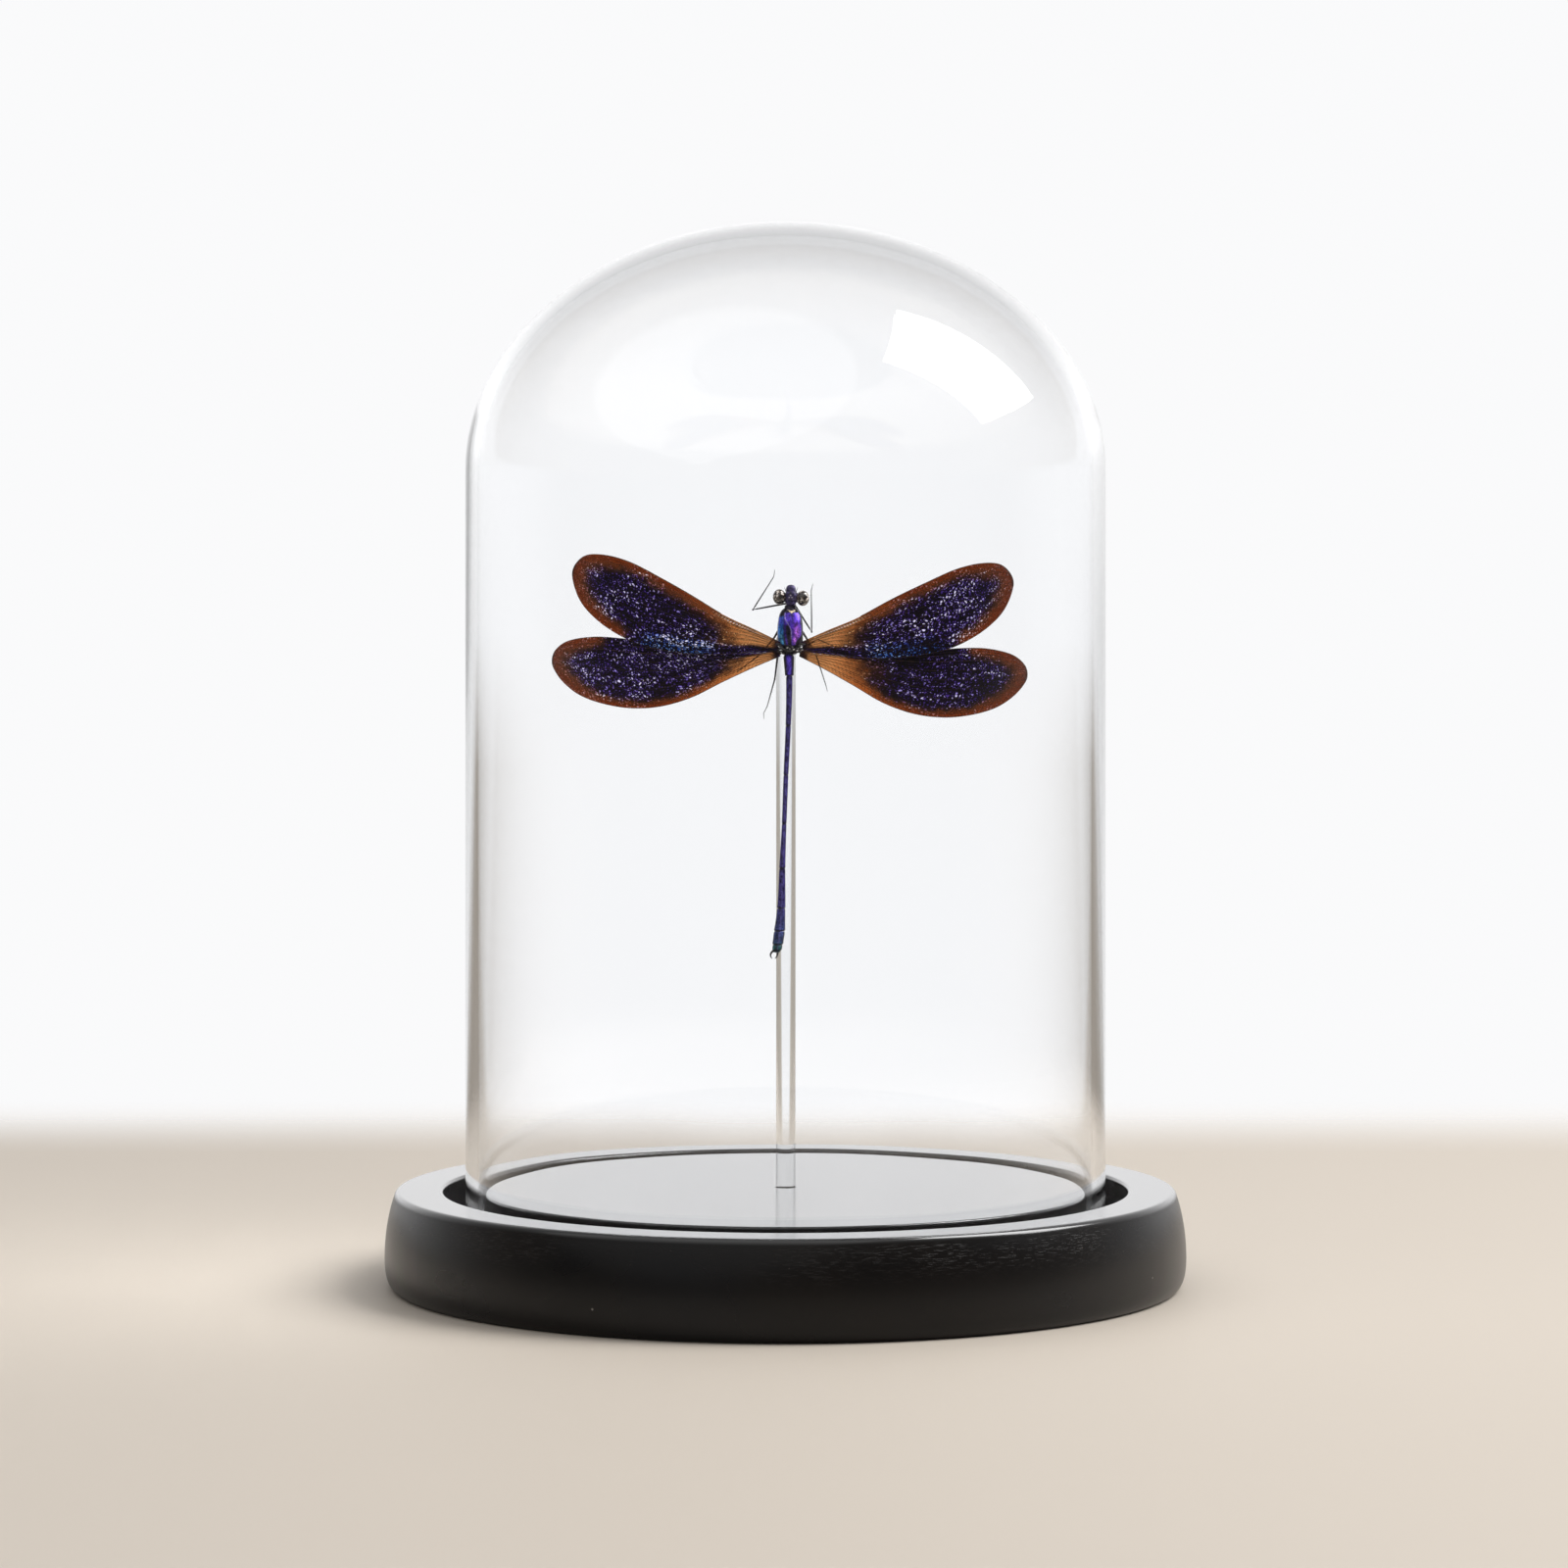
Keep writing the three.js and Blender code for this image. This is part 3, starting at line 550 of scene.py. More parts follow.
# ---- Head ----
# A wide hammer of blue-black shell: the bridge between the eyes, the rounded face above it, three
# bead-like ocelli and two bristle feelers. The great eyes are glossy brown and finely faceted.
HEAD_AT = np.array((0.82, -3.6, 107.62))
HEAD_LUMPS = (
    # place from the middle of the head, half sizes, rows, sides, boxiness
    ((0, 0.3, 0), (1.7, 0.85, 0.85), 40, 56, 0.9),
    ((-0.04, -0.15, 1.03), (0.78, 0.95, 0.96), 44, 48, 0.78),
    ((-0.04, -0.35, 0.2), (0.84, 0.95, 0.95), 40, 48, 0.7),
    ((-0.05, -0.2, -0.7), (0.84, 0.85, 0.6), 24, 32, 0.8),
)
FEELER_JOINTS = np.array([(0.65, -0.6, 0.55), (0.85, -0.95, 1.1), (1.05, -1.35, 1.65)])
FEELER_RADII = (0.1, 0.045, 0.012)
OCELLI = ((-0.1, -1.3, 0.32), (0.12, -1.3, -0.05), (-0.3, -1.26, -0.02))
OCELLUS_HALVES = (0.11, 0.08, 0.1)
LEFT_EYE, RIGHT_EYE = (-0.98, -3.75, 107.72), (2.62, -3.75, 107.5)
EYE_HALVES = (1.0, 1.05, 1.2)


def limb(joints, radii, sides=8, steps=6):
    """A closed tube along straight lengths between joints. Each ring lies square to the path, made
    from the path's direction and the depth axis, and its radius runs from joint to joint."""
    joints, radii = np.asarray(joints, float), np.asarray(radii, float)
    t = np.linspace(0, len(joints) - 1, steps * (len(joints) - 1) + 1)
    path = np.stack([np.interp(t, np.arange(len(joints)), joints[:, k]) for k in range(3)], -1)
    radius = np.interp(t, np.arange(len(joints)), radii)
    along = np.gradient(path, axis=0)
    along /= np.linalg.norm(along, axis=1)[:, None]
    first = np.cross((0.0, 1.0, 0.05), along)
    first /= np.linalg.norm(first, axis=1)[:, None]
    second = np.cross(along, first)
    angle = around(sides)[0, :, None]
    ring = first[:, None, :] * np.cos(angle) + second[:, None, :] * np.sin(angle)
    rings = path[:, None, :] + radius[:, None, None] * ring
    rings = np.concatenate([np.repeat(path[:1, None], sides, 1), rings, np.repeat(path[-1:, None], sides, 1)])
    return surface(rings, wrap=True)


head = piece(
    "head_shell",
    [
        *(lump(HEAD_AT + at, *form) for at, *form in HEAD_LUMPS),
        *(limb(HEAD_AT + FEELER_JOINTS * (side, 1, 1), FEELER_RADII) for side in (-1, 1)),
    ],
    "head",
)
face = mottled(
    "blue_black_shell", 2600, 4, (0.34, (0.010, 0.007, 0.022)), (0.52, (0.034, 0.022, 0.09)),
    (0.7, (0.09, 0.07, 0.19)), raised=(0.5, 0.05 * MM), Roughness=0.36, Metallic=0.45, IOR=1.56,
    Coat_Weight=0.3, Coat_Roughness=0.2,
)
face.put_on(head)

ocelli = piece("ocelli", [lump(HEAD_AT + at, OCELLUS_HALVES, 12, 16) for at in OCELLI], "head")
bead = mottled("ocellus", 6000, 2, (0.4, (0.2, 0.17, 0.22)), (0.6, (0.55, 0.5, 0.56)), Roughness=0.15,
               IOR=1.5, Coat_Weight=1.0)
bead.put_on(ocelli)

eyes = piece("compound_eyes", [lump(at, EYE_HALVES, 72, 96) for at in (LEFT_EYE, RIGHT_EYE)],
             "head")
eye = Finish("eye_lens", Roughness=0.2, IOR=1.55, Coat_Weight=1.0, Coat_Roughness=0.07)
facets = eye.node("TexVoronoi", Vector=eye.place((14000, 14000, 14000)), Scale=1.0)
# The brown mottling runs up to pale spots, which are painted highlights.
eye_mottle_and_highlights = eye.ramp(eye.noise(1900, 1), (0.42, (0.010, 0.007, 0.006)), (0.53, (0.03, 0.02, 0.015)),
                 (0.6, (0.18, 0.13, 0.10)), (0.66, (0.8, 0.72, 0.66)))
# Painted sheen: a paler brown band near the eye's rim, set by the angle at which the surface is seen.
eye_rim_sheen = eye.ramp(eye.node("LayerWeight").outputs["Facing"], (0.35, 0.0), (0.75, 0.55), (0.97, 0.1))
eye.shade(Base_Color=eye.blend(eye_rim_sheen, eye_mottle_and_highlights, (0.13, 0.10, 0.08)))
eye.relief(facets.outputs["Distance"], 0.25, 0.02 * MM)
eye.put_on(eyes)

# ---- Abdomen ----
# Ten tube-like segments telescoped into one another, thick at the waist, thread-thin in the
# middle and swelling again to the tail, where two hooked claspers grow.
ABDOMEN_JOINTS = np.array([
    # height of the joint, x, half-width above it
    (98.62, 0.46, 0.84), (95.4, 0.53, 0.64), (87.65, 0.37, 0.41), (79.9, 0.015, 0.38), (72.3, -0.26, 0.36),
    (65.3, -0.55, 0.475), (59.05, -0.72, 0.645), (55.5, -0.98, 0.86), (53.35, -1.26, 0.81),
    (52.4, -1.38, 0.66),
])
SECOND_SEGMENT_TOP = 0.5
WAIST_DEPTH, TAIL_DEPTH, SETTLE = -3.15, -2.45, 5.0
WAIST_CAP = (98.66, 0.46)
TAIL_DROPS, TAIL_HALVES, TAIL_SHIFT = np.array((0.12, 0.25, 0.32, 0.34)), (0.6, 0.48, 0.28, 0.0), -0.04
SEGMENT_ROWS, ABDOMEN_SIDES = 40, 48
NECK_SINK, NECK_LONG = 0.2, 0.16  # where a segment leaves the one above it
END_SINK, END_LONG = 0.09, 0.07
LIP_RISE, LIP_AT, LIP_LONG = 0.05, 0.25, 0.16
FLATNESS, BACK_RIDGE = 0.95, 0.05
WAIST_FROM, WAIST_BLEND = 95.1, 0.2
TAIL_FROM, TAIL_BLEND = 60, 8
TIP_FROM, TIP_BLEND = 53.9, 0.8
JOINT_WIDTH = 0.17
TUBE_VIOLET = np.array((0.06, 0.045, 0.23))
TAIL_BLUE = np.array((0.022, 0.065, 0.17))
TIP_TEAL = np.array((0.012, 0.10, 0.11))
WAIST_STRIPE = np.array((0.10, 0.05, 0.62))
BACK_HIGHLIGHT = np.array((0.19, 0.16, 0.50))


def abdomen_depth(height):
    """The y of the centre line: it closes on the rod's front exponentially below the waist."""
    return TAIL_DEPTH + (WAIST_DEPTH - TAIL_DEPTH) * np.exp((height - ABDOMEN_JOINTS[0, 0]) / SETTLE)


# Each segment is drawn in where it leaves the one above it, and has a small lip at its lower end.
upper, lower = ABDOMEN_JOINTS[:-1], ABDOMEN_JOINTS[1:]
top_half = upper[:, 2:].copy()
top_half[1] = SECOND_SEGMENT_TOP
t = np.linspace(0, 1, SEGMENT_ROWS)[None, :]
segment_length = (upper[:, 0] - lower[:, 0])[:, None]
ring_z = (upper[:, :1] - t * segment_length).ravel()
ring_x = through(ABDOMEN_JOINTS[::-1, 0], ABDOMEN_JOINTS[::-1, 1], ring_z)
half = top_half + (lower[:, 2:] - top_half) * t**1.3
from_top, to_end = t * segment_length, (1 - t) * segment_length
half *= 1 - NECK_SINK * hill(from_top, 0, NECK_LONG) - END_SINK * hill(to_end, 0, END_LONG)
half *= 1 + LIP_RISE * hill(to_end, LIP_AT, LIP_LONG)
tail_z, tail_x = ABDOMEN_JOINTS[-1, 0] - TAIL_DROPS, ABDOMEN_JOINTS[-1, 1] + TAIL_SHIFT
ring_z = np.concatenate([[WAIST_CAP[0]], ring_z, tail_z])[:, None]
ring_x = np.concatenate([[WAIST_CAP[1]], ring_x, np.full(len(tail_z), tail_x)])[:, None]
half = np.concatenate([[0.0], half.ravel(), TAIL_HALVES])[:, None]
turn = around(ABDOMEN_SIDES)
on_back = np.sin(turn) < 0
ridged = FLATNESS * np.sin(turn) * (1 + BACK_RIDGE * hill(np.cos(turn), 0, 0.2) * on_back)
abdomen_points = np.stack([
    ring_x + half * np.cos(turn), abdomen_depth(ring_z) + half * ridged, ring_z + 0 * turn,
], -1)
# Colour: a bright violet stripe down the back of the first segments, deep violet-blue tubes with
# a paler line down the back, a painted highlight, and black joints after them, and blue-green at
# the tail. The sides are darker, as painted shade.
at_height = ring_z + 0 * turn
waist = np.clip((at_height - WAIST_FROM) / WAIST_BLEND, 0, 1)
tail = np.clip((TAIL_FROM - at_height) / TAIL_BLEND, 0, 1)
tip = np.clip((TIP_FROM - at_height) / TIP_BLEND, 0, 1)
joint = hill(np.min(np.abs(at_height[..., None] - ABDOMEN_JOINTS[1:, 0]), -1), 0, JOINT_WIDTH)
stripe = np.exp(-((np.cos(turn) / 0.5) ** 4)) * on_back + 0 * at_height
# A painted highlight: a paler line down the middle of the back.
line = hill(np.cos(turn), 0.05, 0.12) * on_back
# Painted shade: the sides of each tube, turned away from the front, are darkened.
side = np.clip((np.abs(np.cos(turn)) - 0.72) / 0.25, 0, 1)[..., None]
colour = coated(coated(TUBE_VIOLET, tail, TAIL_BLUE), tip, TIP_TEAL)
colour = coated(colour, waist, coated(SEAM_DARK, stripe, WAIST_STRIPE))
colour = coated(colour, 0.5 * line * (1 - waist), BACK_HIGHLIGHT)
colour = coated(colour, joint, SEAM_DARK) * (1 - 0.75 * side)
abdomen = piece("abdomen_segments", [surface(abdomen_points, wrap=True)], "abdomen",
                skin_of(colour))
cuticle.put_on(abdomen)

CLASPERS = (
    # joints from the tail's end, and their radii
    ([(-0.35, 0, 0.1), (-0.8, 0, -0.25), (-0.98, 0, -0.6), (-0.95, 0, -0.95), (-0.72, 0, -1.28)],
     (0.2, 0.17, 0.13, 0.1, 0.05)),
    ([(0.05, 0, 0.1), (0.12, 0, -0.45), (-0.02, 0, -0.95), (-0.3, 0, -1.25)], (0.2, 0.17, 0.11, 0.05)),
)
tail_height, tail_side = ABDOMEN_JOINTS[-1, :2]
tail_end = np.array((tail_side, abdomen_depth(tail_height) - 0.1, tail_height))
claspers = piece("claspers", [limb(tail_end + joints, radii, 10) for joints, radii in CLASPERS],
                 "abdomen")
shell.put_on(claspers)

# ---- Wings ----
# Four membranes, each stretched on a net of fine dark veins and folded lightly along its length.
# The film between the veins bulges a little in each cell, and many cells have a painted glint, so that the
# cells glitter one by one.
# It is amber at the root, rusty and clear at the rim, and nearly black between.
# Places along both edges, from the root outwards, as share of the length and mm across it; how far
# the wing's plane lies towards the viewer; and the share from which its covered edge is free.
FOREWING = {
    "leading": [(0, 0.3), (0.13, 1.0), (0.28, 1.7), (0.45, 3.1), (0.61, 4.2), (0.76, 5.06), (0.88, 4.94),
                (0.966, 3.88)],
    "tip": [(1, 1.47)],
    "trailing": [(0, -1.0), (0.05, -1.6), (0.1, -2.2), (0.2, -3.8), (0.35, -5.5), (0.5, -6.4),
                 (0.63, -6.63), (0.74, -6.03), (0.84, -4.82), (0.92, -3.13), (0.978, -0.73)],
    "depth": -4.55, "outer_edge_from": 0.62,
}
HINDWING = {
    "leading": [(0, 0.2), (0.28, 0.6), (0.45, 1.45), (0.58, 2.27), (0.69, 3.05), (0.81, 3.49), (0.92, 3.06),
                (0.98, 1.78)],
    "tip": [(1, 0.14)],
    "trailing": [(0, -0.8), (0.11, -2.3), (0.25, -4.4), (0.39, -6.6), (0.53, -7.8), (0.66, -7.86),
                 (0.78, -6.96), (0.88, -5.46), (0.95, -3.42), (0.99, -1.38)],
    "depth": -3.9, "outer_edge_from": 0.58,
}
WINGS = {
    # outline, side, root, rise in degrees, length
    "forewing_left": (FOREWING, -1, (-0.9, 100.38), 17.6, 34.3),
    "forewing_right": (FOREWING, 1, (2.4, 100.38), 14.7, 34.7),
    "hindwing_left": (HINDWING, -1, (-0.9, 99.25), -2.6, 35.8),
    "hindwing_right": (HINDWING, 1, (2.15, 99.25), -6.2, 35.9),
}
WING_COLOURS = {
    # share of the length at which the amber starts to darken and is gone, width of the dark band
    # between the wings, width of the rusty rim, and strength of the painted glints
    "forewing_left": (0.13, 0.38, 1.0, 1.5, 1.15),
    "forewing_right": (0.13, 0.34, 1.0, 1.5, 1.05),
    "hindwing_left": (0.10, 0.32, 1.0, 1.0, 0.95),
    "hindwing_right": (0.18, 0.46, 0.5, 1.0, 0.65),
}
WING_PLEAT, WING_BOW = 0.13, 0.9
FILM_THICKNESS = 0.04
CELL_ROWS, CELL_COLUMNS, CELL_STEPS = 84, 22, 4
CELL_BULGE, CELL_TILT = 0.03, 0.04
RIM_CLEAR, RIM_DARK = 0.2, 2.1  # distance from the free rim at which it darkens and is dark
BAND_EDGE, BAND_CORE = (0.3, 7.0), (0.1, 3.5)  # half-widths of the dark band at the root, and growth
ROOT_DARK = 0.045  # share of the length within which the root is dark
LADDER_AT, LADDER_WIDTH = 0.42, 0.2
BLUE_FAR, BLUE_NEAR = 3.6, 0.8  # distance from the forewing's hind edge at which the painted glints turn blue
USUAL_LENGTH = 36  # a wing of this length has painted glint cells as wide as they are long
NETS_APART = 100  # so that no wing repeats another's painted glints
OVERLAP_MARGIN = 0.13  # share of the length, before the free edge, where a covered edge ends
LONG_VEIN, BRANCH_VEIN, CROSS_VEIN = 0.045, 0.026, 0.016
EDGE_VEINS = {-1: 0.085, 0: 0.05, -3: 0.06, -5: 0.07}  # the edges and the two ribs by the front one
VEIN_POINTS, VEIN_END, VEIN_DEEP = 90, 0.995, 1.1
BRANCHES_FROM, LATE_BRANCHES_FROM = 0.12, 0.26


def spline(points, u):
    """Uniform Catmull-Rom curve through the points, with u from 0 to 1 over the whole of it."""
    points = np.asarray(points, float)
    last = len(points) - 1
    at = np.clip(u, 0, 1) * last
    i = np.minimum(at.astype(int), last - 1)
    w = (at - i)[..., None]
    a, b, c, d = (points[np.clip(i + k, 0, last)] for k in (-1, 0, 1, 2))
    in_slope, out_slope = (c - a) / 2, (d - b) / 2
    return ((2 * b - 2 * c + in_slope + out_slope) * w**3
            + (3 * c - 3 * b - 2 * in_slope - out_slope) * w**2 + in_slope * w + b)


def wing_point(wing, length, share, across):
    """Flat place on a wing, in mm from its root: share runs from root to tip along both edges, and
    across runs straight from the trailing edge to the leading edge at that share."""
    edge = wing["leading"] + wing["tip"] + wing["trailing"][::-1]
    edge = np.array(edge) * (length, 1)
    tip_at = len(wing["leading"]) / (len(edge) - 1)
    fore, aft = spline(edge, share * tip_at), spline(edge, 1 - share * (1 - tip_at))
    return aft + (fore - aft) * np.asarray(across)[..., None]


def set_in_place(name, flat, share, across, raised=0.0):
    """Turns a flat place into the object's own axes, mirrored for the left side. The film lies
    behind the root plane in a gentle bow, with folds along the length."""
    wing, side, root, rise, length = WINGS[name]
    fold = np.sin(np.pi * across) * np.cos(6 * np.pi * across) * np.sqrt(np.clip(1 - share, 0, 1))
    behind = WING_BOW * (flat[..., 0] / length) ** 2 + WING_PLEAT * fold * np.minimum(1, 6 * share)
    a = np.radians(rise)
    x = root[0] + side * (flat[..., 0] * np.cos(a) - flat[..., 1] * np.sin(a))
    z = root[1] + flat[..., 0] * np.sin(a) + flat[..., 1] * np.cos(a)
    return np.stack([x, wing["depth"] + behind + raised, z], -1)


def rods(paths, radii, deep):
    """Closed four-sided rods along equal-length paths (lines, points, 3): a diamond at each point,
    wide across the wing and as deep as deep times that."""
    along = np.gradient(paths, axis=1)
    wide = np.cross(along, (0.0, 1.0, 0.0))
    wide /= np.linalg.norm(wide, axis=-1)[..., None] + 1e-12
    out = np.array((0.0, 1.0, 0.0)) * deep
    radii = radii[..., None]
    ring = np.stack([paths + wide * radii, paths + out * radii, paths - wide * radii, paths - out * radii], 2)
    lines, count = paths.shape[:2]
    caps = np.array([(3, 2, 1, 0), tuple(4 * (count - 1) + k for k in range(4))])
    one = np.concatenate([grid_faces(count, 4, wrap=True), caps])
    faces = one[None] + (np.arange(lines) * 4 * count)[:, None, None]
    return ring.reshape(-1, 3), faces.reshape(-1, 4)


def veins_of(name, share, across, radii):
    """Veins along lines of equal numbers of (share, across) places on a wing."""
    wing, *_, length = WINGS[name]
    flat = wing_point(wing, length, share, across)
    return rods(set_in_place(name, flat, share, across), radii, VEIN_DEEP)


def nearest(flat, spots):
    """The distance from each flat place to the nearest of the spots."""
    gap = np.full(flat.shape[:2], np.inf)
    for spot in spots:
        gap = np.minimum(gap, np.hypot(flat[..., 0] - spot[0], flat[..., 1] - spot[1]))
    return gap


def either(a, b):
    """The share covered by either of two independent shares: 1 - (1 - a)(1 - b)."""
    return 1 - (1 - a) * (1 - b)


def bulging_cells(share, across):
    """How far each place of the film is raised, and how near it is to the middle of its cell. Each
    cell has its own bulge and tilt, drawn by chance, which are nothing at its veins. Every other
    column of cells is set half a cell along, as bricks are."""
    column = np.minimum((across * CELL_COLUMNS + 1e-9).astype(int), CELL_COLUMNS - 1)
    along = share * CELL_ROWS + 0.5 * (column % 2) + 1e-9
    row = along.astype(int)
    a, b = along - row, across * CELL_COLUMNS - column
    count = (CELL_ROWS + 2, CELL_COLUMNS)
    bulge = draws.uniform(-1, 1, count)[row, column] * CELL_BULGE
    tilt_a = draws.normal(0, 1, count)[row, column] * CELL_TILT
    tilt_b = draws.normal(0, 1, count)[row, column] * CELL_TILT
    pane = np.clip(16 * a * (1 - a) * b * (1 - b), 0, 1)
    grown = step(share, 0, 0.1) * step(share, 1, 0.95)
    return grown * pane * (bulge + 2 * tilt_a * (a - 0.5) + 2 * tilt_b * (b - 0.5)), pane


def wing_shades(name, flat, free, covered):
    """The free rim is rusty and clear. Where the two wings of a side lie over each other, the edge
    between them is dark, and the dark reaches along it to the root."""
    wing, *_, length = WINGS[name]
    amber_start, amber_end, band_width, rim_width = WING_COLOURS[name][:4]
    reach = np.clip(flat[..., 0] / length, 0, 1)
    open_edge, overlapped = (flat[:, -1], flat[:, 0]) if wing is FOREWING else (flat[:, 0], flat[:, -1])
    rim_gap = nearest(flat, np.concatenate([open_edge[::2], overlapped[free][::2]]))
    inner_gap = nearest(flat, overlapped[covered][::2])
    rim_scale = 1 + (rim_width - 1) * step(reach, 1.2, 0.3) + 1.15 * step(reach, 0.72, 1.0)
    dark = step(rim_gap / rim_scale, RIM_CLEAR, RIM_DARK) * step(reach, amber_start, amber_end)
    band = step(inner_gap, *(band_width * (base + growth * reach) for base, growth in (BAND_EDGE, BAND_CORE)))
    dark = either(either(dark, band), step(reach, ROOT_DARK, 0.0))
    # A ladder of painted glints, in pale cells, runs along the front edge of each wing near the root,
    # and painted blue glints lie along the forewing's hind edge.
    glint_ladder = hill(inner_gap if wing is HINDWING else rim_gap, LADDER_AT, LADDER_WIDTH)
    glint_ladder = glint_ladder * step(reach, 0.36, 0.26) * step(reach, 0.03, 0.06)
    blue = step(inner_gap, BLUE_FAR, BLUE_NEAR) * step(reach, 0.22, 0.34) * step(reach, 0.78, 0.62)
    return {"dark": dark, "reach": reach, "glint_ladder": glint_ladder, "blue": blue * (wing is FOREWING)}


draws = np.random.default_rng(7)
rows, columns = CELL_ROWS * CELL_STEPS + 1, CELL_COLUMNS * CELL_STEPS + 1
share = np.linspace(0, 1, rows)[:, None] + np.zeros(columns)
across = np.zeros(rows)[:, None] + np.linspace(0, 1, columns)
lines = np.arange(CELL_COLUMNS + 1)
# A third of the long veins start at the root and the others branch off further out.
starts = np.choose(lines % 3, (0.0, LATE_BRANCHES_FROM, BRANCHES_FROM))
thick = np.where(lines % 3 == 0, LONG_VEIN, BRANCH_VEIN)
thick[list(EDGE_VEINS)] = list(EDGE_VEINS.values())
films, nets = [], []
for number, (name, (wing, *_, length)) in enumerate(WINGS.items()):
    flat = wing_point(wing, length, share, across)
    raised, pane = bulging_cells(share, across)
    points = set_in_place(name, flat, share, across, raised)
    edge_share = share[:, 0]
    values = wing_shades(name, flat, edge_share > wing["outer_edge_from"],
                         edge_share < wing["outer_edge_from"] - OVERLAP_MARGIN)
    values = {key: value.ravel() for key, value in values.items()}
    # The painted glint cells' own coordinates, the nearness to a cell's middle, and the painted glints'
    # strength.
    cell_x = share * CELL_ROWS * length / USUAL_LENGTH + NETS_APART * number
    strength = np.full_like(share, WING_COLOURS[name][-1])
    values["net"] = np.stack([cell_x, across * CELL_COLUMNS, pane, strength], -1).reshape(-1, 4)
    sheet = piece(name + "_film", [surface(points)], name, values)
    wall_of = sheet.modifiers.new("film", "SOLIDIFY")
    wall_of.thickness = FILM_THICKNESS * MM
    wall_of.offset = 0
    films.append(sheet)

    # Long veins run along the lines between cell columns, the first and last of them along the
    # wing's own edges. Cross veins join neighbouring long veins at the cell ends.
    s = starts[:, None] + (VEIN_END - starts[:, None]) * np.linspace(0, 1, VEIN_POINTS)
    long_veins = veins_of(name, s, (lines / CELL_COLUMNS)[:, None] + 0 * s, thick[:, None] * (1 - 0.5 * s))
    i, j = np.meshgrid(np.arange(1, CELL_ROWS), np.arange(CELL_COLUMNS), indexing="ij")
    i, j = i.ravel(), j.ravel()
    s = (i - 0.5 * (j % 2)) / CELL_ROWS
    open_here = s > np.maximum(starts[j], starts[j + 1])
    s, j = s[open_here, None] + np.zeros(3), j[open_here, None]
    cross_veins = veins_of(name, s, (j + np.linspace(0, 1, 3)) / CELL_COLUMNS, np.full(s.shape, CROSS_VEIN))
    nets.append(piece(name + "_veins", [long_veins, cross_veins], name, smooth=False))

# The film lets amber light through near the root, more in the middle of each cell, rusty light at
# the rim and almost none between, where it is near black with a painted violet or blue glint in many cells.
film = Finish("wing_film", IOR=1.35, Specular_IOR_Level=0.1, Metallic=0.1, Roughness=0.35)
ragged = film.math("SUBTRACT", film.noise(700, 3), 0.5)
dark, blue = film.attribute("dark"), film.attribute("blue")
dark = film.math("ADD", dark, film.times(dark, film.all_but(dark), ragged, 4.0), clamp=True)
reach = film.math("ADD", film.attribute("reach"), film.times(ragged, 0.08))
net = film.node("SeparateXYZ", Vector=film.attribute("net", "Vector"))
pane = net.outputs["Z"]
pane_light = film.ramp(reach, (0.0, (0.90, 0.68, 0.44)), (0.14, (0.96, 0.72, 0.47)),
                       (0.3, (0.72, 0.38, 0.17)), (0.5, (0.47, 0.19, 0.06)))
pane_dark = film.ramp(reach, (0.0, (0.58, 0.34, 0.18)), (0.16, (0.68, 0.38, 0.19)),
                      (0.34, (0.46, 0.19, 0.07)), (0.55, (0.34, 0.12, 0.035)))
through_tone = film.blend(film.times(pane, 0.8), pane_dark, pane_light)
through_tone = film.blend(dark, through_tone, (0.006, 0.004, 0.006))
own_tone = film.ramp(dark, (0.0, (0.20, 0.075, 0.024)), (0.5, (0.035, 0.012, 0.008)),
                     (1.0, (0.005, 0.002, 0.005)))

# Painted glints: one bright spot of colour in each cell of an irregular net that follows the veins.
# Its size and strength are the cell's own, and drifts of stronger ones run along the veins.
wander = film.vector("SUBTRACT", film.noise(1100, 1, "Color"), _1=(0.5, 0.5, 0.5))
wander = film.vector("SCALE", wander.outputs[0], _3=1.7)
where = film.node("CombineXYZ", X=net.outputs["X"], Y=net.outputs["Y"])
where = film.vector("ADD", where.outputs[0], _1=wander.outputs[0]).outputs[0]
streaks = film.node("Mapping", Vector=where, Scale=(0.07, 0.42, 1))
streaks = film.node("TexNoise", {"noise_dimensions": "2D"}, Vector=streaks.outputs[0], Scale=1.0, Detail=2.0)
drift = film.times(
    film.ramp(streaks.outputs["Fac"], (0.38, 0.3), (0.62, 1.0)),
    film.ramp(film.noise(150, 1), (0.36, 0.35), (0.62, 1.0)),
    film.ramp(dark, (0.05, 0.45), (0.7, 1.0)),
    film.ramp(reach, (0.08, 0.25), (0.3, 1.0)),
    film.math("MULTIPLY_ADD", blue, 0.8, 1.75),
    film.attribute("net", "Alpha"),
)
SPOT_SLOPE = 5.5


def painted_glint_net(scale, least, spread, *luck):
    """Painted glint spots of radius least + spread x a draw in the cells, as strong as the luck of another
    draw.
    """
    spots = film.node("Mapping", Vector=where, Scale=scale)
    spots = film.node("TexVoronoi", {"voronoi_dimensions": "2D"}, Vector=spots.outputs[0], Scale=1.0,
                      Randomness=0.9)
    draw = film.node("SeparateColor", Color=spots.outputs["Color"])
    size = film.math("ADD", film.times(draw.outputs["Blue"], spread), least)
    inside = film.math("SUBTRACT", size, spots.outputs["Distance"])
    inside = film.math("MULTIPLY", inside, SPOT_SLOPE, clamp=True)
    return film.times(inside, film.times(film.ramp(draw.outputs["Red"], *luck), drift))


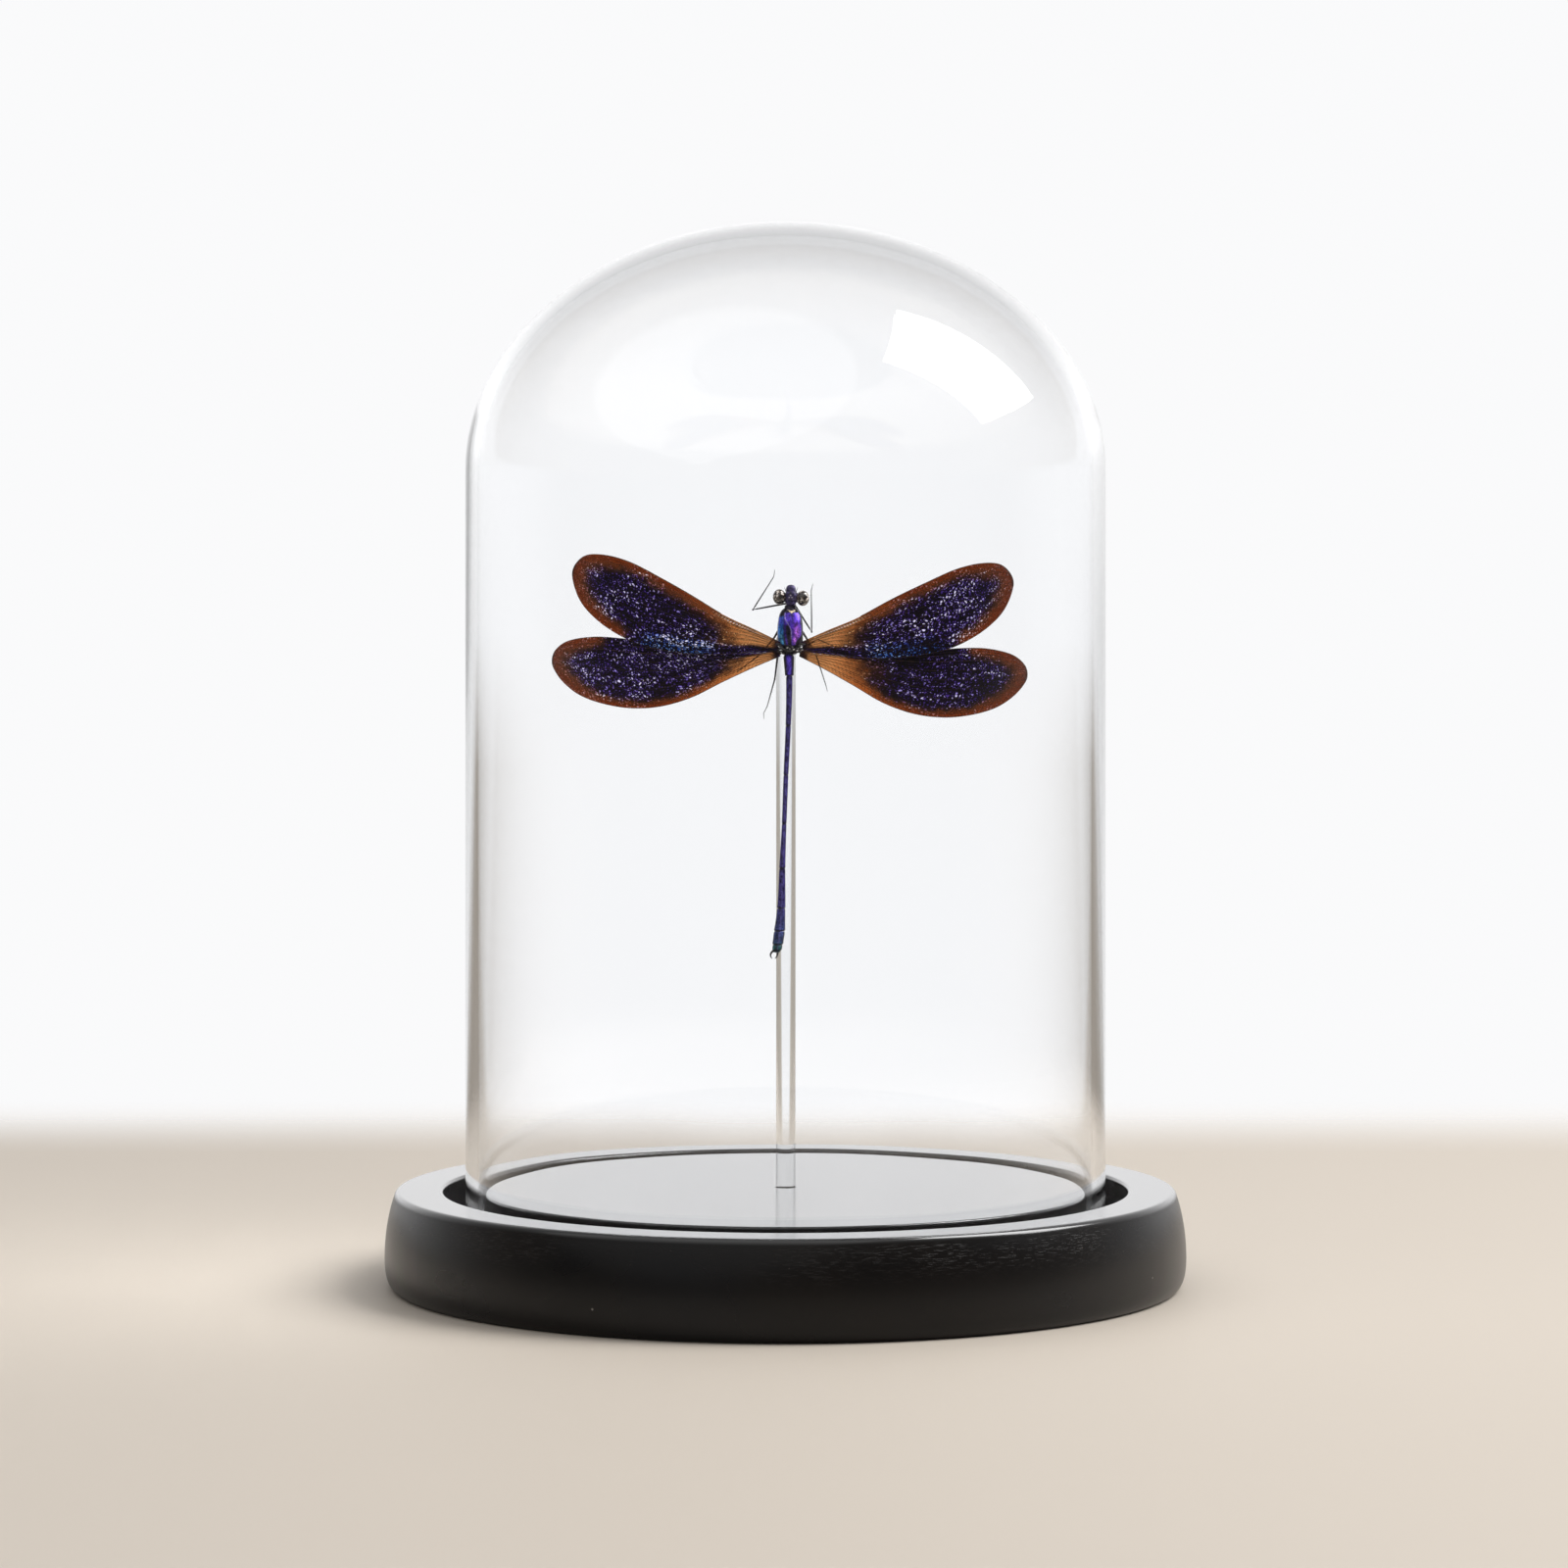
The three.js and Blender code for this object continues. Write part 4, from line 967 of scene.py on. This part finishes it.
large = painted_glint_net((0.9, 0.98, 1), 0.16, 0.2, (0.3, 0.0), (0.6, 0.45), (0.82, 1.0))
small = painted_glint_net((1.5, 1.65, 1), 0.2, 0.2, (0.3, 0.1), (0.8, 0.35), (1.0, 0.8))
glint_ladder = film.times(film.attribute("glint_ladder"), film.ramp(pane, (0.35, 0.0), (0.7, 0.8)))
glow = film.math("MAXIMUM", film.math("MAXIMUM", large, small), glint_ladder)
violet = film.ramp(glow, (0.0, (0.02, 0.008, 0.07)), (0.25, (0.09, 0.04, 0.36)),
                   (0.5, (0.42, 0.33, 1.0)), (0.72, (1.0, 0.98, 1.0)))
azure = film.ramp(glow, (0.0, (0.005, 0.015, 0.1)), (0.25, (0.02, 0.09, 0.5)),
                  (0.5, (0.22, 0.48, 1.0)), (0.75, (0.95, 1.0, 1.0)))
rust = film.ramp(glow, (0.0, (0.16, 0.05, 0.03)), (0.3, (0.5, 0.2, 0.2)), (0.8, (1.0, 0.78, 0.72)))
amber = film.ramp(glow, (0.0, (0.30, 0.12, 0.04)), (0.3, (0.7, 0.36, 0.14)), (0.8, (1.0, 0.84, 0.6)))
painted_glint = film.blend(blue, violet, azure)
painted_glint = film.blend(film.ramp(dark, (0.25, 1.0), (0.8, 0.0)), painted_glint, rust)
painted_glint = film.blend(film.ramp(reach, (0.26, 1.0), (0.38, 0.0)), painted_glint,
                   film.blend(film.ramp(dark, (0.3, 1.0), (0.9, 0.0)), painted_glint, amber))
# The heart of the brightest painted glints is nearly clear, and lets the light behind it through.
spot, heart = film.ramp(glow, (0.02, 0.0), (0.16, 1.0)), film.ramp(glow, (0.6, 0.0), (0.74, 1.0))
solid = film.math("MAXIMUM", film.ramp(dark, (0.0, 0.08), (0.6, 0.7), (1.0, 0.97)), film.times(spot, 0.9))
film.shade(Base_Color=film.blend(spot, own_tone, painted_glint))
window = film.node("BsdfTransparent", Color=film.blend(heart, through_tone, (0.95, 0.93, 1.0)))
film.mix_with(film.times(solid, film.all_but(heart)), window, film.shader)
film.put_on(*films)

vein = mottled("vein_shell", 900, 2, (0.35, (0.012, 0.006, 0.004)), (0.7, (0.07, 0.026, 0.012)),
               Roughness=0.4, IOR=1.5, Specular_IOR_Level=0.3)
vein.put_on(*nets)

# ---- Legs ----
# Six jointed black legs, thin as thread below the knee, with two combs of bristles on each shin.
# They are drawn up on each side of the head and behind the wings.
THIGH, SHIN, FOOT, TOE = 0.19, 0.11, 0.06, 0.03
LEGS = {
    "leg_fore_left": ([(0.4, -2.38, 105.85), (0.2, -2.3, 106.72), (-5.01, -2.6, 105.73),
                       (-1.84, -2.4, 110.88), (-1.67, -2.4, 112.0)], (THIGH, 0.16, SHIN, FOOT, TOE)),
    "leg_fore_right": ([(1.0, -2.38, 105.85), (1.25, -2.3, 106.7), (4.01, -2.5, 102.25),
                        (3.95, -2.5, 108.76), (4.2, -2.5, 109.8)], (THIGH, 0.16, SHIN, FOOT, TOE)),
    "leg_mid_left": ([(-1.2, -2.3, 102.35), (-1.73, -2.2, 101.4), (-3.81, -2.1, 98.8),
                      (-7.45, -2.3, 96.0)], (THIGH, 0.15, SHIN, FOOT)),
    "leg_mid_right": ([(2.55, -2.3, 102.3), (3.55, -2.2, 100.7), (4.55, -2.1, 99.15), (6.25, -2.2, 93.9),
                       (6.51, -2.2, 92.9)], (THIGH, 0.15, SHIN, FOOT, TOE)),
    "leg_hind_left": ([(-0.62, -2.25, 99.2), (-1.26, -2.1, 98.45), (-1.7, -2.1, 94.85),
                       (-2.85, -2.1, 90.6), (-3.4, -2.1, 89.5), (-3.37, -2.1, 88.6)],
                      (THIGH, 0.17, SHIN, FOOT, 0.05, TOE)),
    "leg_hind_right": ([(1.75, -2.1, 99.3), (2.3, -1.8, 99.5), (4.9, -2.1, 101.1), (7.9, -2.4, 99.9),
                        (8.7, -2.4, 99.5)], (THIGH, 0.16, SHIN, FOOT, TOE)),
}
KNEE = 0.15
SHIN_BRISTLES, BRISTLE = 11, 0.27
BRISTLE_RADII = (0.011, 0.008, 0.003)


def bristles(start, end):
    """Two combs of thin spikes along a shin: closed three-point needles that lean towards its end."""
    start, end = np.array(start), np.array(end)
    along = (end - start) / np.linalg.norm(end - start)
    wide = np.cross(along, (0.0, 1.0, 0.0))
    t = np.linspace(0.1, 0.95, SHIN_BRISTLES)[:, None]
    foot = start + (end - start) * t
    spikes = [np.stack([foot, foot + BRISTLE / 2 * (0.6 * along + side * 0.8 * wide),
                        foot + BRISTLE * (0.7 * along + side * 0.7 * wide)], 1) for side in (-1, 1)]
    paths = np.concatenate(spikes)
    return rods(paths, np.zeros(len(paths))[:, None] + BRISTLE_RADII, 1.0)


chitin = mottled("leg_shell", 3000, 3, (0.35, (0.009, 0.007, 0.009)), (0.7, (0.035, 0.028, 0.032)),
                 raised=(0.4, 0.03 * MM), Roughness=0.42, IOR=1.56, Coat_Weight=0.2, Coat_Roughness=0.2)
for name, (joints, radii) in LEGS.items():
    knee_at, shin_end = joints[2:4]
    knee = lump(knee_at, (KNEE, KNEE, KNEE), 10, 12)
    parts = [limb(joints, radii, 8, 8), knee, bristles(knee_at, shin_end)]
    chitin.put_on(piece(name + "_jointed", parts, name))

# ---- Studio ----
# A plain pale floor that fades into a white surround, a large softbox high on the right, and a
# wide weak one in front on the left.
FLOOR_RADIUS = 600
FLOOR_TONE = (0.62, 0.55, 0.47)
HAZE_TONE = (0.60, 0.54, 0.47)
SHADE_TONE = (0.46, 0.415, 0.36)
PANEL_WHITE, WALL_GREY = (1.0, 1.0, 1.0), (0.70, 0.71, 0.73)
COOL_LIGHT = (0.99, 0.992, 1.0)
SEEN_LEVEL, GLASS_LEVEL, LIT_LEVEL = 0.965, 1.08, 1.18
HORIZON_LIFT, HORIZON_BLUR = 0.115, 0.03
floor_profile = np.stack([np.linspace(0, FLOOR_RADIUS, 12), np.zeros(12)], -1)
floor_points, floor_faces = turned(floor_profile, 96)
floor_mesh = bpy.data.meshes.new("floor")
floor_mesh.from_pydata((floor_points * MM).tolist(), [], floor_faces.tolist())
floor = bpy.data.objects.new("floor", floor_mesh)
bpy.context.scene.collection.objects.link(floor)
# The floor fades away from 0.17 m behind the object's middle, and further off at its sides.
ground = Finish("pale_floor", Base_Color=(*FLOOR_TONE, 1), Roughness=0.65)
on_floor = ground.place((1, 1, 1))
away = ground.math("MAXIMUM", ground.node("SeparateXYZ", Vector=on_floor).outputs["Y"],
                   ground.times(ground.vector("LENGTH", on_floor).outputs["Value"], 0.6))
edge_fade = ground.ramp(away, (0.17, 0.0), (0.28, 1.0))
edge_fade.node.color_ramp.interpolation = "EASE"
ground.mix_with(edge_fade, ground.shader, ground.node("BsdfTransparent"))
ground.put_on(floor)

# The surround is white at the back, softer at the sides and dim in front, and floor-coloured below.
# What is seen straight or through glass is whiter all round than what lights the pieces.
world = bpy.data.worlds.new("surround")
world.use_nodes = True
bpy.context.scene.world = world
surround = Wiring(world.node_tree)
facing = surround.node("SeparateXYZ", Vector=surround.node("TexCoord").outputs["Generated"])
x_off, z_up = surround.math("ABSOLUTE", facing.outputs["X"]), facing.outputs["Z"]
to_back = surround.math("MULTIPLY_ADD", facing.outputs["Y"], 0.5, 0.5)
light_path = surround.node("LightPath")
bounced = surround.math("ADD", light_path.outputs["Glossy Depth"], light_path.outputs["Diffuse Depth"],
                        clamp=True)
inside_glass = surround.math("MINIMUM", light_path.outputs["Transmission Depth"], 1.0)
# As seen: the white panel at the back is a little wider and taller than the glass. Beyond its
# edges the wall is grey, which draws the glass's outline.
aside = surround.math("MAXIMUM", surround.ramp(x_off, (0.2, 0.0), (0.5, 1.0)),
                      surround.ramp(to_back, (0.5, 1.0), (0.6, 0.0)))
over = surround.ramp(z_up, (0.15, 0.0), (0.32, 0.65))
off_panel = surround.math("MAXIMUM", surround.times(aside, 0.55), over)
seen = surround.blend(off_panel, PANEL_WHITE, WALL_GREY)
# As light: brightest at the back in a belt above the floor, with some light from above in front.
lit = surround.blend(
    surround.ramp(z_up, (0.0, 0.0), (0.1, 1.0), (0.6, 1.0), (0.8, 0.4)),
    surround.ramp(to_back, (0.3, 0.05), (0.5, 0.11), (0.72, 0.65), (0.9, 0.85)),
    surround.ramp(to_back, (0.3, 0.05), (0.5, 0.16), (0.75, 0.6), (0.9, 1.0)),
)
lit = surround.blend(1.0, lit, surround.ramp(z_up, (0.0, 0.85), (0.1, 1.0), (0.2, 1.0), (0.45, 0.6),
                                             (1.0, 0.5)), "MULTIPLY")
front_top = surround.times(surround.ramp(z_up, (0.3, 0.0), (0.6, 1.0)),
                           surround.ramp(to_back, (0.4, 0.22), (0.6, 0.0)))
lit = surround.blend(1.0, lit, front_top, "ADD")
# Below the horizon: haze at the back and shade beside it, and as light a dim floor.
beside = surround.ramp(x_off, (0.2, 0.0), (0.5, 1.0), (0.75, 1.0), (0.95, 0.0))
low_seen = surround.blend(beside, HAZE_TONE, SHADE_TONE)
low_lit = surround.ramp(to_back, *((at, tuple(level * t for t in HAZE_TONE))
                                   for at, level in ((0.25, 0.14), (0.6, 0.5))))
horizon = surround.math("ADD", z_up, surround.times(surround.all_but(aside), HORIZON_LIFT))
above = surround.node("MapRange", _0=horizon, _1=-HORIZON_BLUR, _2=0.0).outputs[0]
tone = surround.blend(above, surround.blend(bounced, low_seen, low_lit), surround.blend(bounced, seen, lit))
surround.set(
    world.node_tree.nodes["Background"],
    Color=surround.blend(1.0, tone, COOL_LIGHT, "MULTIPLY"),
    Strength=surround.between(bounced, surround.between(inside_glass, SEEN_LEVEL, GLASS_LEVEL), LIT_LEVEL),
)


def softbox(name, place, aim, size, power, shape="RECTANGLE", roll=0.0):
    """An area lamp that faces the point aim, turned by roll about its own axis."""
    lamp = bpy.data.lights.new(name, "AREA")
    lamp.shape = shape
    lamp.size, lamp.size_y = size
    lamp.energy = power
    made = bpy.data.objects.new(name, lamp)
    ahead = Vector(np.array(aim) - np.array(place)).normalized()
    made.rotation_mode = "QUATERNION"
    made.rotation_quaternion = ahead.to_track_quat("-Z", "Y")
    made.rotation_quaternion.rotate(Matrix.Rotation(roll, 3, ahead))
    made.location = place
    bpy.context.scene.collection.objects.link(made)


softbox("softbox_right", (0.76, -0.04, 0.83), (0.025, -0.04, 0.142), (0.58, 0.80), 12, roll=np.radians(-13))
softbox("softbox_front", (-0.58, -1.0, 1.31), (0, 0, 0.14), (3.0, 3.0), 9, "DISK")

bpy.context.scene.view_settings.view_transform = "Standard"
bpy.context.scene.cycles.use_denoising = True
bpy.context.scene.cycles.transparent_max_bounces = 24
bpy.context.scene.cycles.transmission_bounces = 16
bpy.context.scene.cycles.max_bounces = 16
